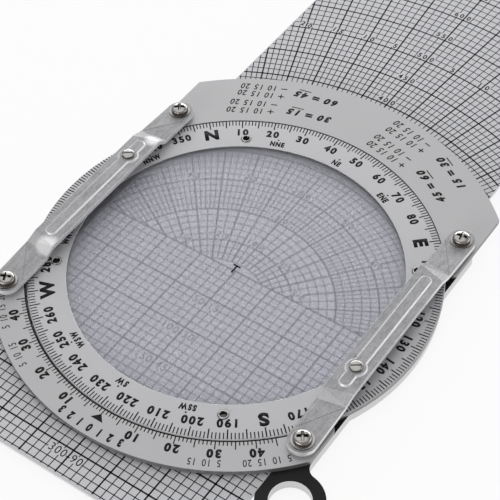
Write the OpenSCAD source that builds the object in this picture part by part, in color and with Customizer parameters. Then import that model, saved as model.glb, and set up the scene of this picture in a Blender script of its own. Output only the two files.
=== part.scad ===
// Slide type flight computer, wind side up: a printed slide runs through a base plate under a turning
// azimuth disc with a frosted window, and a round calculator disc turns on the back.
// Z = 0 is the face it lies on, and the Z axis is the axis of both discs.
// +Y runs along the slide to the end with the formula plate. Sizes are in millimetres.

/* [Slide] */
// Width of the printed slide
slide_w = 99.3; // [92:0.1:106]
// Length of the printed slide
slide_l = 258; // [230:1:280]
// Thickness of the printed slide
slide_t = 1; // [0.8:0.1:1.2]
// How far the slide stands out past the disc axis at the index end, at rest
slide_out = 87.7; // [80:0.1:96]
// Corner radius of the slide
slide_corner_r = 0.8; // [0.5:0.1:5]
// Running gap at each long edge of the slide
slide_gap = 0.25; // [0.15:0.05:0.4]

/* [Base plate] */
// Thickness of the black base plate
base_t = 3.2; // [3:0.1:4]
// Depth of the slide channel in the base plate
channel_depth = 1.9; // [1.7:0.05:2.1]
// Gap between the slide and the channel floor
floor_gap = 0.1; // [0.05:0.05:0.15]
// Width of the rail on each side of the channel
rail_w = 7.6; // [7:0.1:9]
// How far the base plate's round edge stays inside the azimuth disc
base_inset = 0.3; // [0.2:0.1:1]

/* [Ring tab] */
// Radius of the hole in the ring tab
tab_hole_r = 6.1; // [4.5:0.1:7]
// Wall of the ring tab round its hole
tab_wall = 3.7; // [2.5:0.1:5]
// Wall between the tab's hole and the slide channel
tab_inner_wall = 3.2; // [2:0.1:3.6]
// Distance of the tab's hole past the side corner of the index plate
tab_drop = 12.7; // [11:0.1:16]
// Radius of the inside corner between the tab and the base plate's side
tab_fillet_r = 3.5; // [2:0.1:4.5]

/* [Azimuth disc] */
// How far the azimuth disc overhangs the base plate's sides
disc_overhang = 6; // [4:0.1:8]
// Thickness of the azimuth disc
disc_t = 1.5; // [1.3:0.1:2]
// Width of the disc's printed ring round the window
ring_w = 12; // [10:0.1:14]
// Width of the bevel on the disc's upper edge
disc_bevel_w = 0.6; // [0.3:0.1:1]
// Depth of that bevel
disc_bevel_h = 0.4; // [0.2:0.1:0.6]
// Gap between the disc and the base plate's black face
disc_lift = 0.1; // [0.05:0.05:0.2]
// Thickness of the frosted window
window_t = 0.7; // [0.4:0.05:0.8]
// How far the window reaches under the printed ring
window_seat = 6.5; // [5.7:0.1:8]
// Heading under the index mark at rest, in degrees
heading = 222.9; // [0:0.1:360]

/* [Window eyelets] */
// Number of eyelets
eyelet_count = 4; // [3:1:8]
// Distance of the eyelets from the window's visible edge
eyelet_inset = 3.5; // [3:0.1:4]
// Heading of the first eyelet, in degrees
eyelet_heading = 11.5; // [0:0.1:90]
// Radius of the eyelet's rim
eyelet_rim_r = 1.6; // [1.4:0.05:2]
// Radius of the hole through the eyelet
eyelet_hole_r = 1.05; // [0.8:0.05:1.1]
// Wall of the eyelet's tube
eyelet_wall = 0.2; // [0.15:0.05:0.25]
// Thickness of the eyelet's upper rim
eyelet_rim_t = 0.2; // [0.1:0.05:0.3]
// Thickness of the eyelet's lower rim
eyelet_foot_t = 0.1; // [0.05:0.05:0.1]

/* [Formula and index plates] */
// Gap between the azimuth disc and the plates' inner arcs
disc_gap = 0.3; // [0.2:0.05:0.5]
// Width of the formula plate at its middle
formula_plate_w = 20.5; // [16:0.1:26]
// How far the centre of the formula plate's outer arc lies up the slide
formula_arc_shift = 2.8; // [0:0.1:5]
// Width of the index plate
index_plate_w = 10; // [8:0.1:13]
// Radius of the rounded tips where the plates meet the disc
plate_tip_r = 1.8; // [1.2:0.1:2.4]
// Radius of the plates' outer corners
plate_corner_r = 1.2; // [0.8:0.1:2]

/* [Arms] */
// Width of a pressed arm
arm_w = 8.8; // [7:0.1:10]
// Thickness of the arm's sheet
arm_t = 1.6; // [1.2:0.1:2]
// How far an arm stays inside the side of the plates
arm_inset = 0.3; // [0.1:0.1:1]
// Distance of an arm's screws past the edge of the azimuth disc
arm_screw_margin = 5.2; // [4.8:0.1:6]
// How far each arm is shifted along its length, the two in opposite directions
arm_stagger = 0.7; // [0:0.1:1.5]
// Gap between an arm's lowest corners and the azimuth disc
arm_touch_gap = 0.15; // [0.1:0.05:0.3]
// Height of the arm's raised middle above its end pads
arm_rise = 2.3; // [1.5:0.1:3]
// Run of the sloping step between an end pad and the raised middle
arm_step_run = 4; // [3:0.1:5]

/* [Arm beads] */
// Height of the pressed bead
bead_h = 0.5; // [0.3:0.05:0.8]
// Width of the bead at its crest
bead_w = 3.1; // [2.8:0.1:4]
// Width of the sloping side of the bead
bead_side = 0.4; // [0.2:0.05:0.6]
// Radius of the bead's round boss at its crest
boss_r = 2.9; // [2.5:0.1:3.2]
// Gap between the bead's end and the arm's sloping step
bead_end_gap = 1; // [0.5:0.1:2]

/* [Drag springs] */
// Distance of the drag screw from the arm's middle
drag_screw_y = 16.4; // [12:0.1:18]
// Distance from the arm's middle to where its drag spring touches the disc
drag_reach = 20; // [16:0.1:21]
// Width of the drag spring
drag_spring_w = 2.2; // [1.8:0.1:2.2]
// Thickness of the drag spring
drag_spring_t = 0.3; // [0.2:0.05:0.35]
// Length of the drag spring's turned up tip
drag_tip_l = 2; // [1.5:0.1:2.5]
// Gap between the drag spring's tip and the disc
drag_tip_gap = 0.05; // [0.03:0.01:0.1]
// Radius of the drag screw's shank
drag_shank_r = 1; // [0.8:0.05:1.1]
// Radius of the drag screw's slotted head
drag_head_r = 2; // [1.7:0.05:2.4]
// Height of the drag screw's head
drag_head_h = 0.9; // [0.7:0.1:1.2]
// Width across the flats of the drag screw's nut
drag_nut_af = 4; // [3.6:0.1:4.2]
// Thickness of the drag screw's nut
drag_nut_t = 1.6; // [1.2:0.1:1.8]

/* [Arm screws] */
// Radius of an arm screw's shank
arm_shank_r = 1.45; // [1.3:0.05:1.45]
// Radius of an arm screw's hole in the arm, washers and plates
arm_hole_r = 1.65; // [1.6:0.05:1.8]
// Radius of an arm screw's tapped hole in the base plate
tapped_r = 1.5; // [1.48:0.01:1.55]
// Radius of an arm screw's domed head
arm_head_r = 2.75; // [2.4:0.05:3]
// Height of an arm screw's head
arm_head_h = 1.9; // [1.5:0.1:2.2]
// Height of the straight rim of an arm screw's head
arm_head_rim = 0.7; // [0.4:0.1:1]
// Base plate left under an arm screw's tapped hole
tapped_floor = 0.4; // [0.3:0.1:0.8]
// Radius of the washer under the head
washer_r = 3.4; // [3:0.1:3.8]
// Thickness of the washer under the head
washer_t = 0.4; // [0.3:0.1:0.6]
// Radius of the spacer under the arm
spacer_r = 3.5; // [3:0.1:4]
// Thickness of the spacer under the arm
spacer_t = 1.1; // [0.9:0.1:1.3]

/* [Slide spring] */
// Length of the bowed spring that rubs the slide's edge
bow_l = 38; // [30:1:44]
// Thickness of the bowed spring
bow_t = 0.3; // [0.2:0.05:0.4]
// Depth of the spring's pocket in the rail
bow_pocket = 2.4; // [2:0.1:3]
// Height left free over and under the bowed spring
bow_clear = 0.1; // [0.05:0.05:0.2]

/* [Calculator disc] */
// Radius of the turning calculator disc
calc_r = 49; // [44:0.1:54]
// Thickness of the calculator disc
calc_t = 1.2; // [1.1:0.1:1.6]
// Width of the bevel round the calculator disc
calc_bevel = 0.4; // [0.2:0.1:0.6]
// Inner radius of the calculator disc's windows
calc_window_r = 21; // [19:0.1:24]
// Radial width of the windows
calc_window_w = 6; // [4:0.1:7]
// Angle of the longest window, in degrees
calc_window_angle = 70; // [40:1:90]
// Radius of the pivot rivet's shank
rivet_r = 2.4; // [2:0.1:3]
// Radius of the rivet's flat head
rivet_head_r = 4.8; // [4:0.1:5.4]
// Thickness of the rivet's head
rivet_head_t = 0.35; // [0.25:0.05:0.45]
// Running gap between the disc and its rivet
pivot_gap = 0.08; // [0.05:0.01:0.1]
// Radius of the spring washer under the rivet's head
spring_washer_r = 5.8; // [5.5:0.1:6.5]
// Thickness of the spring washer
spring_washer_t = 0.25; // [0.2:0.05:0.3]
// Radius of the fibre washer between the calculator disc and the base plate
fibre_r = 15; // [10:0.1:18]
// Thickness of the fibre washer
fibre_t = 0.3; // [0.2:0.05:0.5]

/* [Hidden] */
$fn = 96;

// Amount by which a cut runs past a face
cut = 1;
// Size of the blocks that stand for half of space
big = 200;
// Gap between pieces that are set into each other without play
seat = 0.02;
// Length of the small filling where one round edge runs out into another
weld = 0.4;

// Heights, from the face it lies on upwards
base_z = calc_t + fibre_t;
face_z = base_z + base_t;
floor_z = face_z - channel_depth;
slide_z = floor_z + floor_gap;
disc_z = face_z + disc_lift;
// The plates' tops are flush with the disc
top_z = disc_z + disc_t;
pad_z = top_z + spacer_t;
mid_z = pad_z + arm_rise;
// Ceiling of the groove under the bead
groove_z = mid_z + bead_h;
crest_z = mid_z + arm_t + bead_h;
rebate_z = disc_z + eyelet_foot_t + window_t;

// Plan sizes
channel_x = slide_w / 2 + slide_gap;
side_x = channel_x + rail_w;
disc_r = side_x + disc_overhang;
window_r = disc_r - ring_w;
rebate_r = window_r + window_seat;
base_r = disc_r - base_inset;
plate_r = disc_r + disc_gap;
arm_x = side_x - arm_inset - arm_w / 2;
arm_end_y = sqrt(pow(disc_r + arm_screw_margin, 2) - pow(arm_x, 2));
arm_outer_x = arm_x + arm_w / 2;
arm_inner_x = arm_x - arm_w / 2;
eyelet_r = window_r + eyelet_inset;

// Where the base plate's cut corners meet the channel
corner_y = arm_end_y + rail_w;

// Where the plates' straight sides end
index_r = plate_r + index_plate_w;
index_corner_y = sqrt(pow(index_r, 2) - pow(side_x, 2));
formula_arc_r = plate_r + formula_plate_w - formula_arc_shift;
tip_x = side_x - plate_tip_r;
tip_y = sqrt(pow(plate_r + plate_tip_r, 2) - pow(tip_x, 2));
// Where a tip's round end touches the arc round the disc
tip_angle = atan(tip_y / tip_x);
tip_touch_x = plate_r * cos(tip_angle) + weld * sin(tip_angle);
tip_touch_y = plate_r * sin(tip_angle) - weld * cos(tip_angle);

// Ring tab
tab_r = tab_hole_r + tab_wall;
tab_x = channel_x + tab_inner_wall + tab_hole_r;
tab_y = -index_corner_y - tab_drop;
tab_fillet_x = side_x + tab_fillet_r;
tab_fillet_y = tab_y + sqrt(pow(tab_r + tab_fillet_r, 2) - pow(tab_fillet_x - tab_x, 2));

// The crease of an arm is tangent to the disc's edge where the arm's middle line crosses it
crease_angle = acos(arm_x / disc_r);
step_y = (disc_r - arm_outer_x * cos(crease_angle)) / sin(crease_angle);
step_top_y = step_y - arm_step_run;
step_angle = atan(arm_rise / arm_step_run);
bead_end_y = step_top_y - bead_end_gap - bead_w / 2;
// The facet inside the crease dips until its inner corner all but touches the disc
facet_run = disc_r - arm_inner_x * cos(crease_angle) - step_y * sin(crease_angle);
facet_angle = atan((pad_z - top_z - arm_touch_gap) / facet_run);

// Angle of a heading on the azimuth disc, from +X anticlockwise
function heading_angle(h) = 270 + heading - h;

// A block that fills all space under a plane through a point; the plane rises by an angle along dir
module under_plane(point, dir, angle) {
    translate(point)
        rotate([0, 0, dir])
            rotate([0, -angle, 0])
                translate([-big, -big, -2 * big])
                    cube(2 * big);
}

// One piece at each of the four arm screws
module at_arm_screws() {
    for (side = [-1, 1], end = [-1, 1])
        translate([side * arm_x, side * arm_stagger + end * arm_end_y, 0])
            children();
}

// The same piece on each arm, turned half a turn for the left one
module on_both_arms() {
    for (turn = [0, 180])
        rotate([0, 0, turn])
            translate([arm_x, arm_stagger, 0])
                children();
}

module ring(outer, inner, height) {
    difference() {
        cylinder(h = height, r = outer);
        translate([0, 0, -cut])
            cylinder(h = height + 2 * cut, r = inner);
    }
}

// Outline of the base plate: a disc, a plate with cut corners, and the ring tab. The tab stays beside
// the channel, and an inside corner blends it into the rail.
module base_outline() {
    circle(r = base_r, $fn = 180);
    difference() {
        polygon([
            [-side_x, -arm_end_y],
            [-channel_x, -corner_y],
            [channel_x, -corner_y],
            [channel_x, tab_y],
            [tab_x, tab_y],
            [tab_fillet_x + weld, tab_fillet_y],
            [side_x, tab_fillet_y],
            [side_x, arm_end_y],
            [channel_x, corner_y],
            [-channel_x, corner_y],
            [-side_x, arm_end_y]
        ]);
        translate([tab_fillet_x, tab_fillet_y])
            circle(r = tab_fillet_r);
    }
    intersection() {
        translate([tab_x, tab_y])
            circle(r = tab_r);
        translate([channel_x, tab_y - 2 * tab_r])
            square([4 * tab_r, 4 * tab_r]);
    }
}

module base_plate() {
    color("#1d1d20")
        difference() {
            translate([0, 0, base_z])
                linear_extrude(base_t)
                    base_outline();
            // Slide channel, open at both ends
            translate([-channel_x, -big, floor_z])
                cube([2 * channel_x, 2 * big, base_t]);
            // Hole of the ring tab
            translate([tab_x, tab_y, base_z - cut])
                cylinder(h = base_t + 2 * cut, r = tab_hole_r);
            // Tapped holes for the arm screws, blind from below
            at_arm_screws()
                translate([0, 0, base_z + tapped_floor])
                    cylinder(h = base_t, r = tapped_r);
            // Pivot hole, with a recess in the channel floor for the rivet's clenched end
            translate([0, 0, base_z - cut])
                cylinder(h = base_t, r = rivet_r + seat);
            translate([0, 0, floor_z - rivet_head_t - seat])
                cylinder(h = base_t, r = rivet_head_r + seat);
            bow_pocket_cut();
        }
}

// Pocket in the left rail for the bowed spring
module bow_pocket_cut() {
    translate([-channel_x - bow_pocket, -bow_l / 2 - cut, floor_z])
        cube([bow_pocket + cut, bow_l + 2 * cut, base_t]);
}

// A bowed leaf whose crown rubs the slide's edge
module slide_spring() {
    sag = bow_pocket + slide_gap - 2 * seat - bow_t;
    bow_r = (pow(bow_l / 2, 2) + pow(sag, 2)) / (2 * sag);
    crown_x = -slide_w / 2 - seat;
    color("silver")
        translate([0, 0, floor_z + bow_clear])
            linear_extrude(channel_depth - 2 * bow_clear)
                intersection() {
                    translate([crown_x - bow_r, 0])
                        difference() {
                            circle(r = bow_r, $fn = 360);
                            circle(r = bow_r - bow_t, $fn = 360);
                        }
                    translate([crown_x - sag - bow_t, -bow_l / 2])
                        square([sag + 2 * bow_t, bow_l]);
                }
}

// Shared outline of the two segment plates, drawn up the slide: straight sides, round tips, and the
// disc's arc inside
module segment_outline(outer_r, shift) {
    round_x = side_x - plate_corner_r;
    round_y = shift + sqrt(pow(outer_r - plate_corner_r, 2) - pow(round_x, 2));
    // Direction from the outer arc's centre through the rounded corner
    dir_x = round_x / (outer_r - plate_corner_r);
    dir_y = (round_y - shift) / (outer_r - plate_corner_r);
    touch_x = round_x + plate_corner_r * dir_x + weld * dir_y;
    touch_y = round_y + plate_corner_r * dir_y - weld * dir_x;
    difference() {
        intersection() {
            translate([0, shift])
                circle(r = outer_r, $fn = 180);
            polygon([
                [-touch_x - big * dir_x, touch_y + big * dir_y],
                [-touch_x, touch_y],
                [-round_x, round_y],
                [-side_x, round_y],
                [-side_x, tip_y],
                [-tip_x, tip_y],
                [-tip_touch_x, tip_touch_y],
                [tip_touch_x, tip_touch_y],
                [tip_x, tip_y],
                [side_x, tip_y],
                [side_x, round_y],
                [round_x, round_y],
                [touch_x, touch_y],
                [touch_x + big * dir_x, touch_y + big * dir_y]
            ]);
        }
        circle(r = plate_r, $fn = 180);
    }
    for (side = [-1, 1]) {
        translate([side * tip_x, tip_y])
            circle(r = plate_tip_r);
        translate([side * round_x, round_y])
            circle(r = plate_corner_r);
    }
}

// A segment plate; turn is 0 for the one up the slide and 180 for the one at the index end
module segment_plate(outer_r, shift, turn) {
    color("#b8b8bc")
        difference() {
            translate([0, 0, face_z])
                rotate([0, 0, turn])
                    linear_extrude(top_z - face_z)
                        segment_outline(outer_r, shift);
            at_arm_screws()
                translate([0, 0, face_z - cut])
                    cylinder(h = disc_lift + disc_t + 2 * cut, r = arm_hole_r);
        }
}

module formula_plate() {
    segment_plate(formula_arc_r, formula_arc_shift, 0);
}

module index_plate() {
    segment_plate(index_r, 0, 180);
}

module slide_card() {
    color("#c4c4c8")
        translate([0, slide_l / 2 - slide_out, slide_z])
            linear_extrude(slide_t)
                union() {
                    square([slide_w - 2 * slide_corner_r, slide_l], center = true);
                    square([slide_w, slide_l - 2 * slide_corner_r], center = true);
                    for (x = [-1, 1], y = [-1, 1])
                        translate([
                            x * (slide_w / 2 - slide_corner_r),
                            y * (slide_l / 2 - slide_corner_r)
                        ])
                            circle(r = slide_corner_r);
                }
}

module at_eyelets() {
    for (i = [0 : eyelet_count - 1])
        rotate([0, 0, heading_angle(eyelet_heading + i * 360 / eyelet_count)])
            translate([eyelet_r, 0, 0])
                children();
}

// Printed ring of the azimuth disc, rebated below for the window
module azimuth_ring() {
    tube_r = eyelet_hole_r + eyelet_wall;
    color("#bababf")
        difference() {
            rotate_extrude($fn = 180)
                polygon([
                    [window_r, rebate_z],
                    [rebate_r + seat, rebate_z],
                    [rebate_r + seat, disc_z],
                    [disc_r, disc_z],
                    [disc_r, top_z - disc_bevel_h],
                    [disc_r - disc_bevel_w, top_z],
                    [window_r, top_z]
                ]);
            at_eyelets() {
                translate([0, 0, disc_z - cut])
                    cylinder(h = disc_t + 2 * cut, r = tube_r + seat);
                translate([0, 0, top_z - eyelet_rim_t])
                    cylinder(h = eyelet_rim_t + cut, r = eyelet_rim_r + seat);
            }
        }
}

module azimuth_window() {
    color([0.8, 0.82, 0.85, 0.5])
        translate([0, 0, rebate_z - window_t])
            difference() {
                cylinder(h = window_t, r = rebate_r, $fn = 180);
                at_eyelets()
                    translate([0, 0, -cut])
                        cylinder(h = window_t + 2 * cut, r = eyelet_hole_r + eyelet_wall + seat);
            }
}

// Tubular eyelets, flush with the ring above and clenched under the window
module window_eyelets() {
    color("gainsboro")
        at_eyelets()
            rotate_extrude()
                polygon([
                    [eyelet_hole_r, disc_z],
                    [eyelet_rim_r, disc_z],
                    [eyelet_rim_r, disc_z + eyelet_foot_t],
                    [eyelet_hole_r + eyelet_wall, disc_z + eyelet_foot_t],
                    [eyelet_hole_r + eyelet_wall, top_z - eyelet_rim_t],
                    [eyelet_rim_r, top_z - eyelet_rim_t],
                    [eyelet_rim_r, top_z],
                    [eyelet_hole_r, top_z]
                ]);
}

// Outline of an arm, a strip with round ends, about the arm's middle
module arm_outline() {
    square([arm_w, 2 * arm_end_y], center = true);
    for (end = [-1, 1])
        translate([0, end * arm_end_y])
            circle(d = arm_w);
}

// All space under one end of the arm's sheet, raised by lift: a level pad past the crease, a dipping
// facet inside it, and the sloping step up to the middle. end is 1 or -1.
module under_arm_end(end, lift) {
    under_plane([0, end * step_top_y, mid_z + lift], -end * 90, step_angle);
    intersection() {
        under_plane([0, 0, pad_z + lift], 0, 0);
        under_plane(
            [
                disc_r * cos(crease_angle) - arm_x,
                end * disc_r * sin(crease_angle),
                pad_z + lift
            ],
            end * crease_angle,
            facet_angle
        );
    }
}

// All space under the whole sheet, raised by lift
module under_arm(lift) {
    intersection() {
        under_plane([0, 0, mid_z + lift], 0, 0);
        union() {
            under_arm_end(1, lift);
        }
        union() {
            under_arm_end(-1, lift);
        }
    }
}

// The pressed bead with its round boss, as a raised form of a given height; shrink narrows it
module bead(height, shrink) {
    crest = bead_w / 2 - shrink;
    foot = crest + bead_side;
    rotate([90, 0, 0])
        translate([0, 0, -bead_end_y])
            linear_extrude(2 * bead_end_y)
                polygon([[-foot, 0], [foot, 0], [crest, height], [-crest, height]]);
    for (end = [-1, 1])
        translate([0, end * bead_end_y, 0])
            cylinder(h = height, r1 = foot, r2 = crest);
    translate([0, -drag_screw_y, 0])
        cylinder(h = height, r1 = boss_r + bead_side - shrink, r2 = boss_r - shrink);
}

// One pressed arm about its own middle, the disc towards -X
module pressed_arm() {
    color("#c6c6c9")
        difference() {
            union() {
                intersection() {
                    linear_extrude(big)
                        arm_outline();
                    difference() {
                        under_arm(arm_t);
                        under_arm(0);
                    }
                }
                translate([0, 0, mid_z + arm_t - seat])
                    bead(bead_h + seat, 0);
            }
            // Groove pressed up into the bead from below
            translate([0, 0, mid_z - seat])
                bead(bead_h + seat, bead_side / 2);
            for (end = [-1, 1])
                translate([0, end * arm_end_y, pad_z - cut])
                    cylinder(h = arm_t + 2 * cut, r = arm_hole_r);
            translate([0, -drag_screw_y, mid_z])
                cylinder(h = arm_t + bead_h + cut, r = drag_shank_r + seat);
        }
}

module right_arm() {
    translate([arm_x, arm_stagger, 0])
        pressed_arm();
}

module left_arm() {
    rotate([0, 0, 180])
        translate([arm_x, arm_stagger, 0])
            pressed_arm();
}

module arm_spacers() {
    color("#9a9a9e")
        at_arm_screws()
            translate([0, 0, top_z])
                ring(spacer_r, arm_hole_r, spacer_t);
}

module arm_washers() {
    color("#aeaeb2")
        at_arm_screws()
            translate([0, 0, pad_z + arm_t])
                ring(washer_r, arm_hole_r, washer_t);
}

// Pan head screws with a cross recess
module arm_screws() {
    seat_z = pad_z + arm_t + washer_t;
    dome_h = arm_head_h - arm_head_rim;
    dome_r = (pow(arm_head_r, 2) + pow(dome_h, 2)) / (2 * dome_h);
    shank_l = seat_z - (base_z + tapped_floor + seat);
    recess_l = arm_head_r * 1.2;
    recess_w = arm_head_r / 4;
    color("#d9d6d2")
        at_arm_screws()
            translate([0, 0, seat_z])
                difference() {
                    union() {
                        translate([0, 0, -shank_l])
                            cylinder(h = shank_l + seat, r = arm_shank_r);
                        cylinder(h = arm_head_rim, r = arm_head_r);
                        intersection() {
                            translate([0, 0, arm_head_rim - seat])
                                cylinder(h = dome_h + 2 * seat, r = arm_head_r);
                            translate([0, 0, arm_head_h - dome_r])
                                sphere(r = dome_r);
                        }
                    }
                    for (turn = [0, 90])
                        rotate([0, 0, turn])
                            translate([-recess_l / 2, -recess_w / 2, arm_head_rim])
                                cube([recess_l, recess_w, arm_head_h]);
                }
}

// Leaf under the arm: clamped in the boss by the drag screw, and sloping down to rub the disc
module drag_spring() {
    clamp_z = groove_z - drag_spring_t;
    foot_z = top_z + drag_tip_gap;
    start_y = -drag_screw_y + boss_r;
    tip_y = drag_reach + drag_tip_l;
    tip_rise = drag_tip_l / 2;
    difference() {
        union() {
            rotate([90, 0, 90])
                translate([0, 0, -drag_spring_w / 2])
                    linear_extrude(drag_spring_w)
                        polygon([
                            [-drag_screw_y, clamp_z],
                            [start_y, clamp_z],
                            [drag_reach, foot_z],
                            [tip_y, foot_z + tip_rise],
                            [tip_y, foot_z + tip_rise + drag_spring_t],
                            [drag_reach, foot_z + drag_spring_t],
                            [start_y, clamp_z + drag_spring_t],
                            [-drag_screw_y, clamp_z + drag_spring_t]
                        ]);
            translate([0, -drag_screw_y, clamp_z])
                cylinder(h = drag_spring_t, r = drag_nut_af / 2);
        }
        translate([0, -drag_screw_y, clamp_z - cut])
            cylinder(h = drag_spring_t + 2 * cut, r = drag_shank_r + seat);
    }
}

module drag_springs() {
    color("lightsteelblue")
        on_both_arms()
            drag_spring();
}

// Slotted screws through the bosses
module drag_screws() {
    shank_l = crest_z - groove_z + drag_spring_t + drag_nut_t;
    slot_w = drag_head_r / 4;
    color("#e2dfda")
        on_both_arms()
            translate([0, -drag_screw_y, crest_z])
                difference() {
                    union() {
                        translate([0, 0, -shank_l])
                            cylinder(h = shank_l + seat, r = drag_shank_r);
                        cylinder(h = drag_head_h, r = drag_head_r);
                    }
                    rotate([0, 0, 45])
                        translate([-2 * drag_head_r, -slot_w / 2, drag_head_h / 2])
                            cube([4 * drag_head_r, slot_w, drag_head_h]);
                }
}

module drag_nuts() {
    nut_r = drag_nut_af / 2 / cos(30);
    color("#9a9a9e")
        on_both_arms()
            translate([0, -drag_screw_y, groove_z - drag_spring_t - drag_nut_t])
                difference() {
                    cylinder(h = drag_nut_t, r = nut_r, $fn = 6);
                    translate([0, 0, -cut])
                        cylinder(h = drag_nut_t + 2 * cut, r = drag_shank_r + seat);
                }
}

// A window through the calculator disc: part of a ring, centred on the angle middle
module arc_window(middle, angle) {
    rotate([0, 0, middle - angle / 2])
        rotate_extrude(angle = angle, $fn = 180)
            translate([calc_window_r, -cut])
                square([calc_window_w, calc_t + 2 * cut]);
}

// Turning disc of the calculator side, with three windows and a pocket for the rivet's head
module calculator_disc() {
    pocket_h = rivet_head_t + spring_washer_t + 2 * seat;
    color("#c2c2c6")
        difference() {
            rotate_extrude($fn = 180)
                polygon([
                    [rivet_r + pivot_gap, pocket_h],
                    [spring_washer_r + pivot_gap, pocket_h],
                    [spring_washer_r + pivot_gap, 0],
                    [calc_r - calc_bevel, 0],
                    [calc_r, calc_bevel],
                    [calc_r, calc_t],
                    [rivet_r + pivot_gap, calc_t]
                ]);
            arc_window(0, calc_window_angle);
            arc_window(150, calc_window_angle * 0.6);
            arc_window(225, calc_window_angle * 0.4);
        }
}

// Pivot rivet: its flat head lies flush in the disc, and its other end is clenched in the channel floor
module centre_rivet() {
    color("#cfcfd2")
        rotate_extrude()
            polygon([
                [0, 0],
                [rivet_head_r, 0],
                [rivet_head_r, rivet_head_t],
                [rivet_r, rivet_head_t],
                [rivet_r, floor_z - rivet_head_t],
                [rivet_head_r, floor_z - rivet_head_t],
                [rivet_head_r, floor_z],
                [0, floor_z]
            ]);
}

module spring_washer() {
    color("#8f8f94")
        translate([0, 0, rivet_head_t + seat])
            ring(spring_washer_r, rivet_r + seat, spring_washer_t);
}

module fibre_washer() {
    color("#7a5a3c")
        translate([0, 0, calc_t + seat])
            ring(fibre_r, rivet_r + seat, fibre_t - seat);
}

base_plate();
formula_plate();
index_plate();
slide_card();
slide_spring();
azimuth_ring();
azimuth_window();
window_eyelets();
right_arm();
left_arm();
arm_spacers();
arm_washers();
arm_screws();
drag_springs();
drag_screws();
drag_nuts();
calculator_disc();
centre_rivet();
spring_washer();
fibre_washer();
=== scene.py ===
"""A slide type flight computer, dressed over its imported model.

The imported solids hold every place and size. This script gives them their finishes and printed scales, and
makes finer pieces where a solid is plainer than the real thing: pressed arms with soft edges, screws with
their recesses, rolled eyelets, and plates, ring and calculator disc with broken edges.
"""

import logging
import math
from collections.abc import Sequence
from dataclasses import dataclass, field
from enum import Enum
from typing import Any

import bmesh
import bpy
from mathutils import Matrix, Vector


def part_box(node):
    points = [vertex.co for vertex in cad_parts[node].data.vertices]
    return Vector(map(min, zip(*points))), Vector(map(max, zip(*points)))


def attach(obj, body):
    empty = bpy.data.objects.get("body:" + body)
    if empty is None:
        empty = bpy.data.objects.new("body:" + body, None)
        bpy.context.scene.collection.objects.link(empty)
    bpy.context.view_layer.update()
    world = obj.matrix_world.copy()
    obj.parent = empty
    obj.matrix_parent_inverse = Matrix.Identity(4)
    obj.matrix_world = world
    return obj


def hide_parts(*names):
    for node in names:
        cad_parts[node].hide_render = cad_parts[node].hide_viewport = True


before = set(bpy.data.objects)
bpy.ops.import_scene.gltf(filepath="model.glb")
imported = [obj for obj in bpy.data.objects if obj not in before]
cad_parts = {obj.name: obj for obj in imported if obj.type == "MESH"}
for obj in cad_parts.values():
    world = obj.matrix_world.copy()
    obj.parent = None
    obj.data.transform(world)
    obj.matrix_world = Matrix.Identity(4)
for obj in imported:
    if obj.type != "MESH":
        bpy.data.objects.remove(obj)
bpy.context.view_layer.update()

MM = 0.001
LOG = logging.getLogger("flight_computer")

# Printing is a thin layer: its thickness and the gap that keeps it off the sheet, in millimetres
INK_THICKNESS = 0.02
INK_GAP = 0.003

# Heading at the index, and the index's own direction, both in degrees
INDEX_HEADING = 222.9
INDEX_DIRECTION = 270.0

Pair = tuple[float, float]
Triple = tuple[float, float, float]

# Widths of a space and a sign and the strokes of a sign, as shares of the type's height
SPACE_WIDTH = 0.3
SIGN_WIDTH = 0.8
SIGN_STROKE = 0.12

# How far a facet of a printed arc may leave its circle, in millimetres, and the fewest facets of a circle
ARC_SAG = 0.02
LEAST_FACETS = 24.0

# Angles below which an edge of a sheet isn't bevelled and is shaded smooth, in degrees
BEVEL_ANGLE = 40.0
SHADE_ANGLE = 50.0

# How near a vertex lies to a line that it belongs to, in millimetres
TOUCHING = 0.05

# How far up a face of a sheet looks, from 0 to 1, where it is a broken edge and where it is the flat face
BROKEN_EDGE = 0.15
FLAT_FACE = 0.97

# Strokes of the signs that are drawn as lines, as shares of their width
SIGNS: dict[str, tuple[tuple[float, float, float, float], ...]] = {
    "+": ((-0.5, 0.0, 0.5, 0.0), (0.0, -0.5, 0.0, 0.5)),
    "-": ((-0.5, 0.0, 0.5, 0.0),),
    "=": ((-0.5, -0.2, 0.5, -0.2), (-0.5, 0.2, 0.5, 0.2)),
}


class Side(Enum):
    """Which way a printed face looks."""

    FRONT = 1
    BACK = -1


class Recess(Enum):
    """The drive cut into a screw's head, with the directions of its grooves."""

    CROSS = (0.0, 90.0)
    SLOT = (0.0,)


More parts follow.
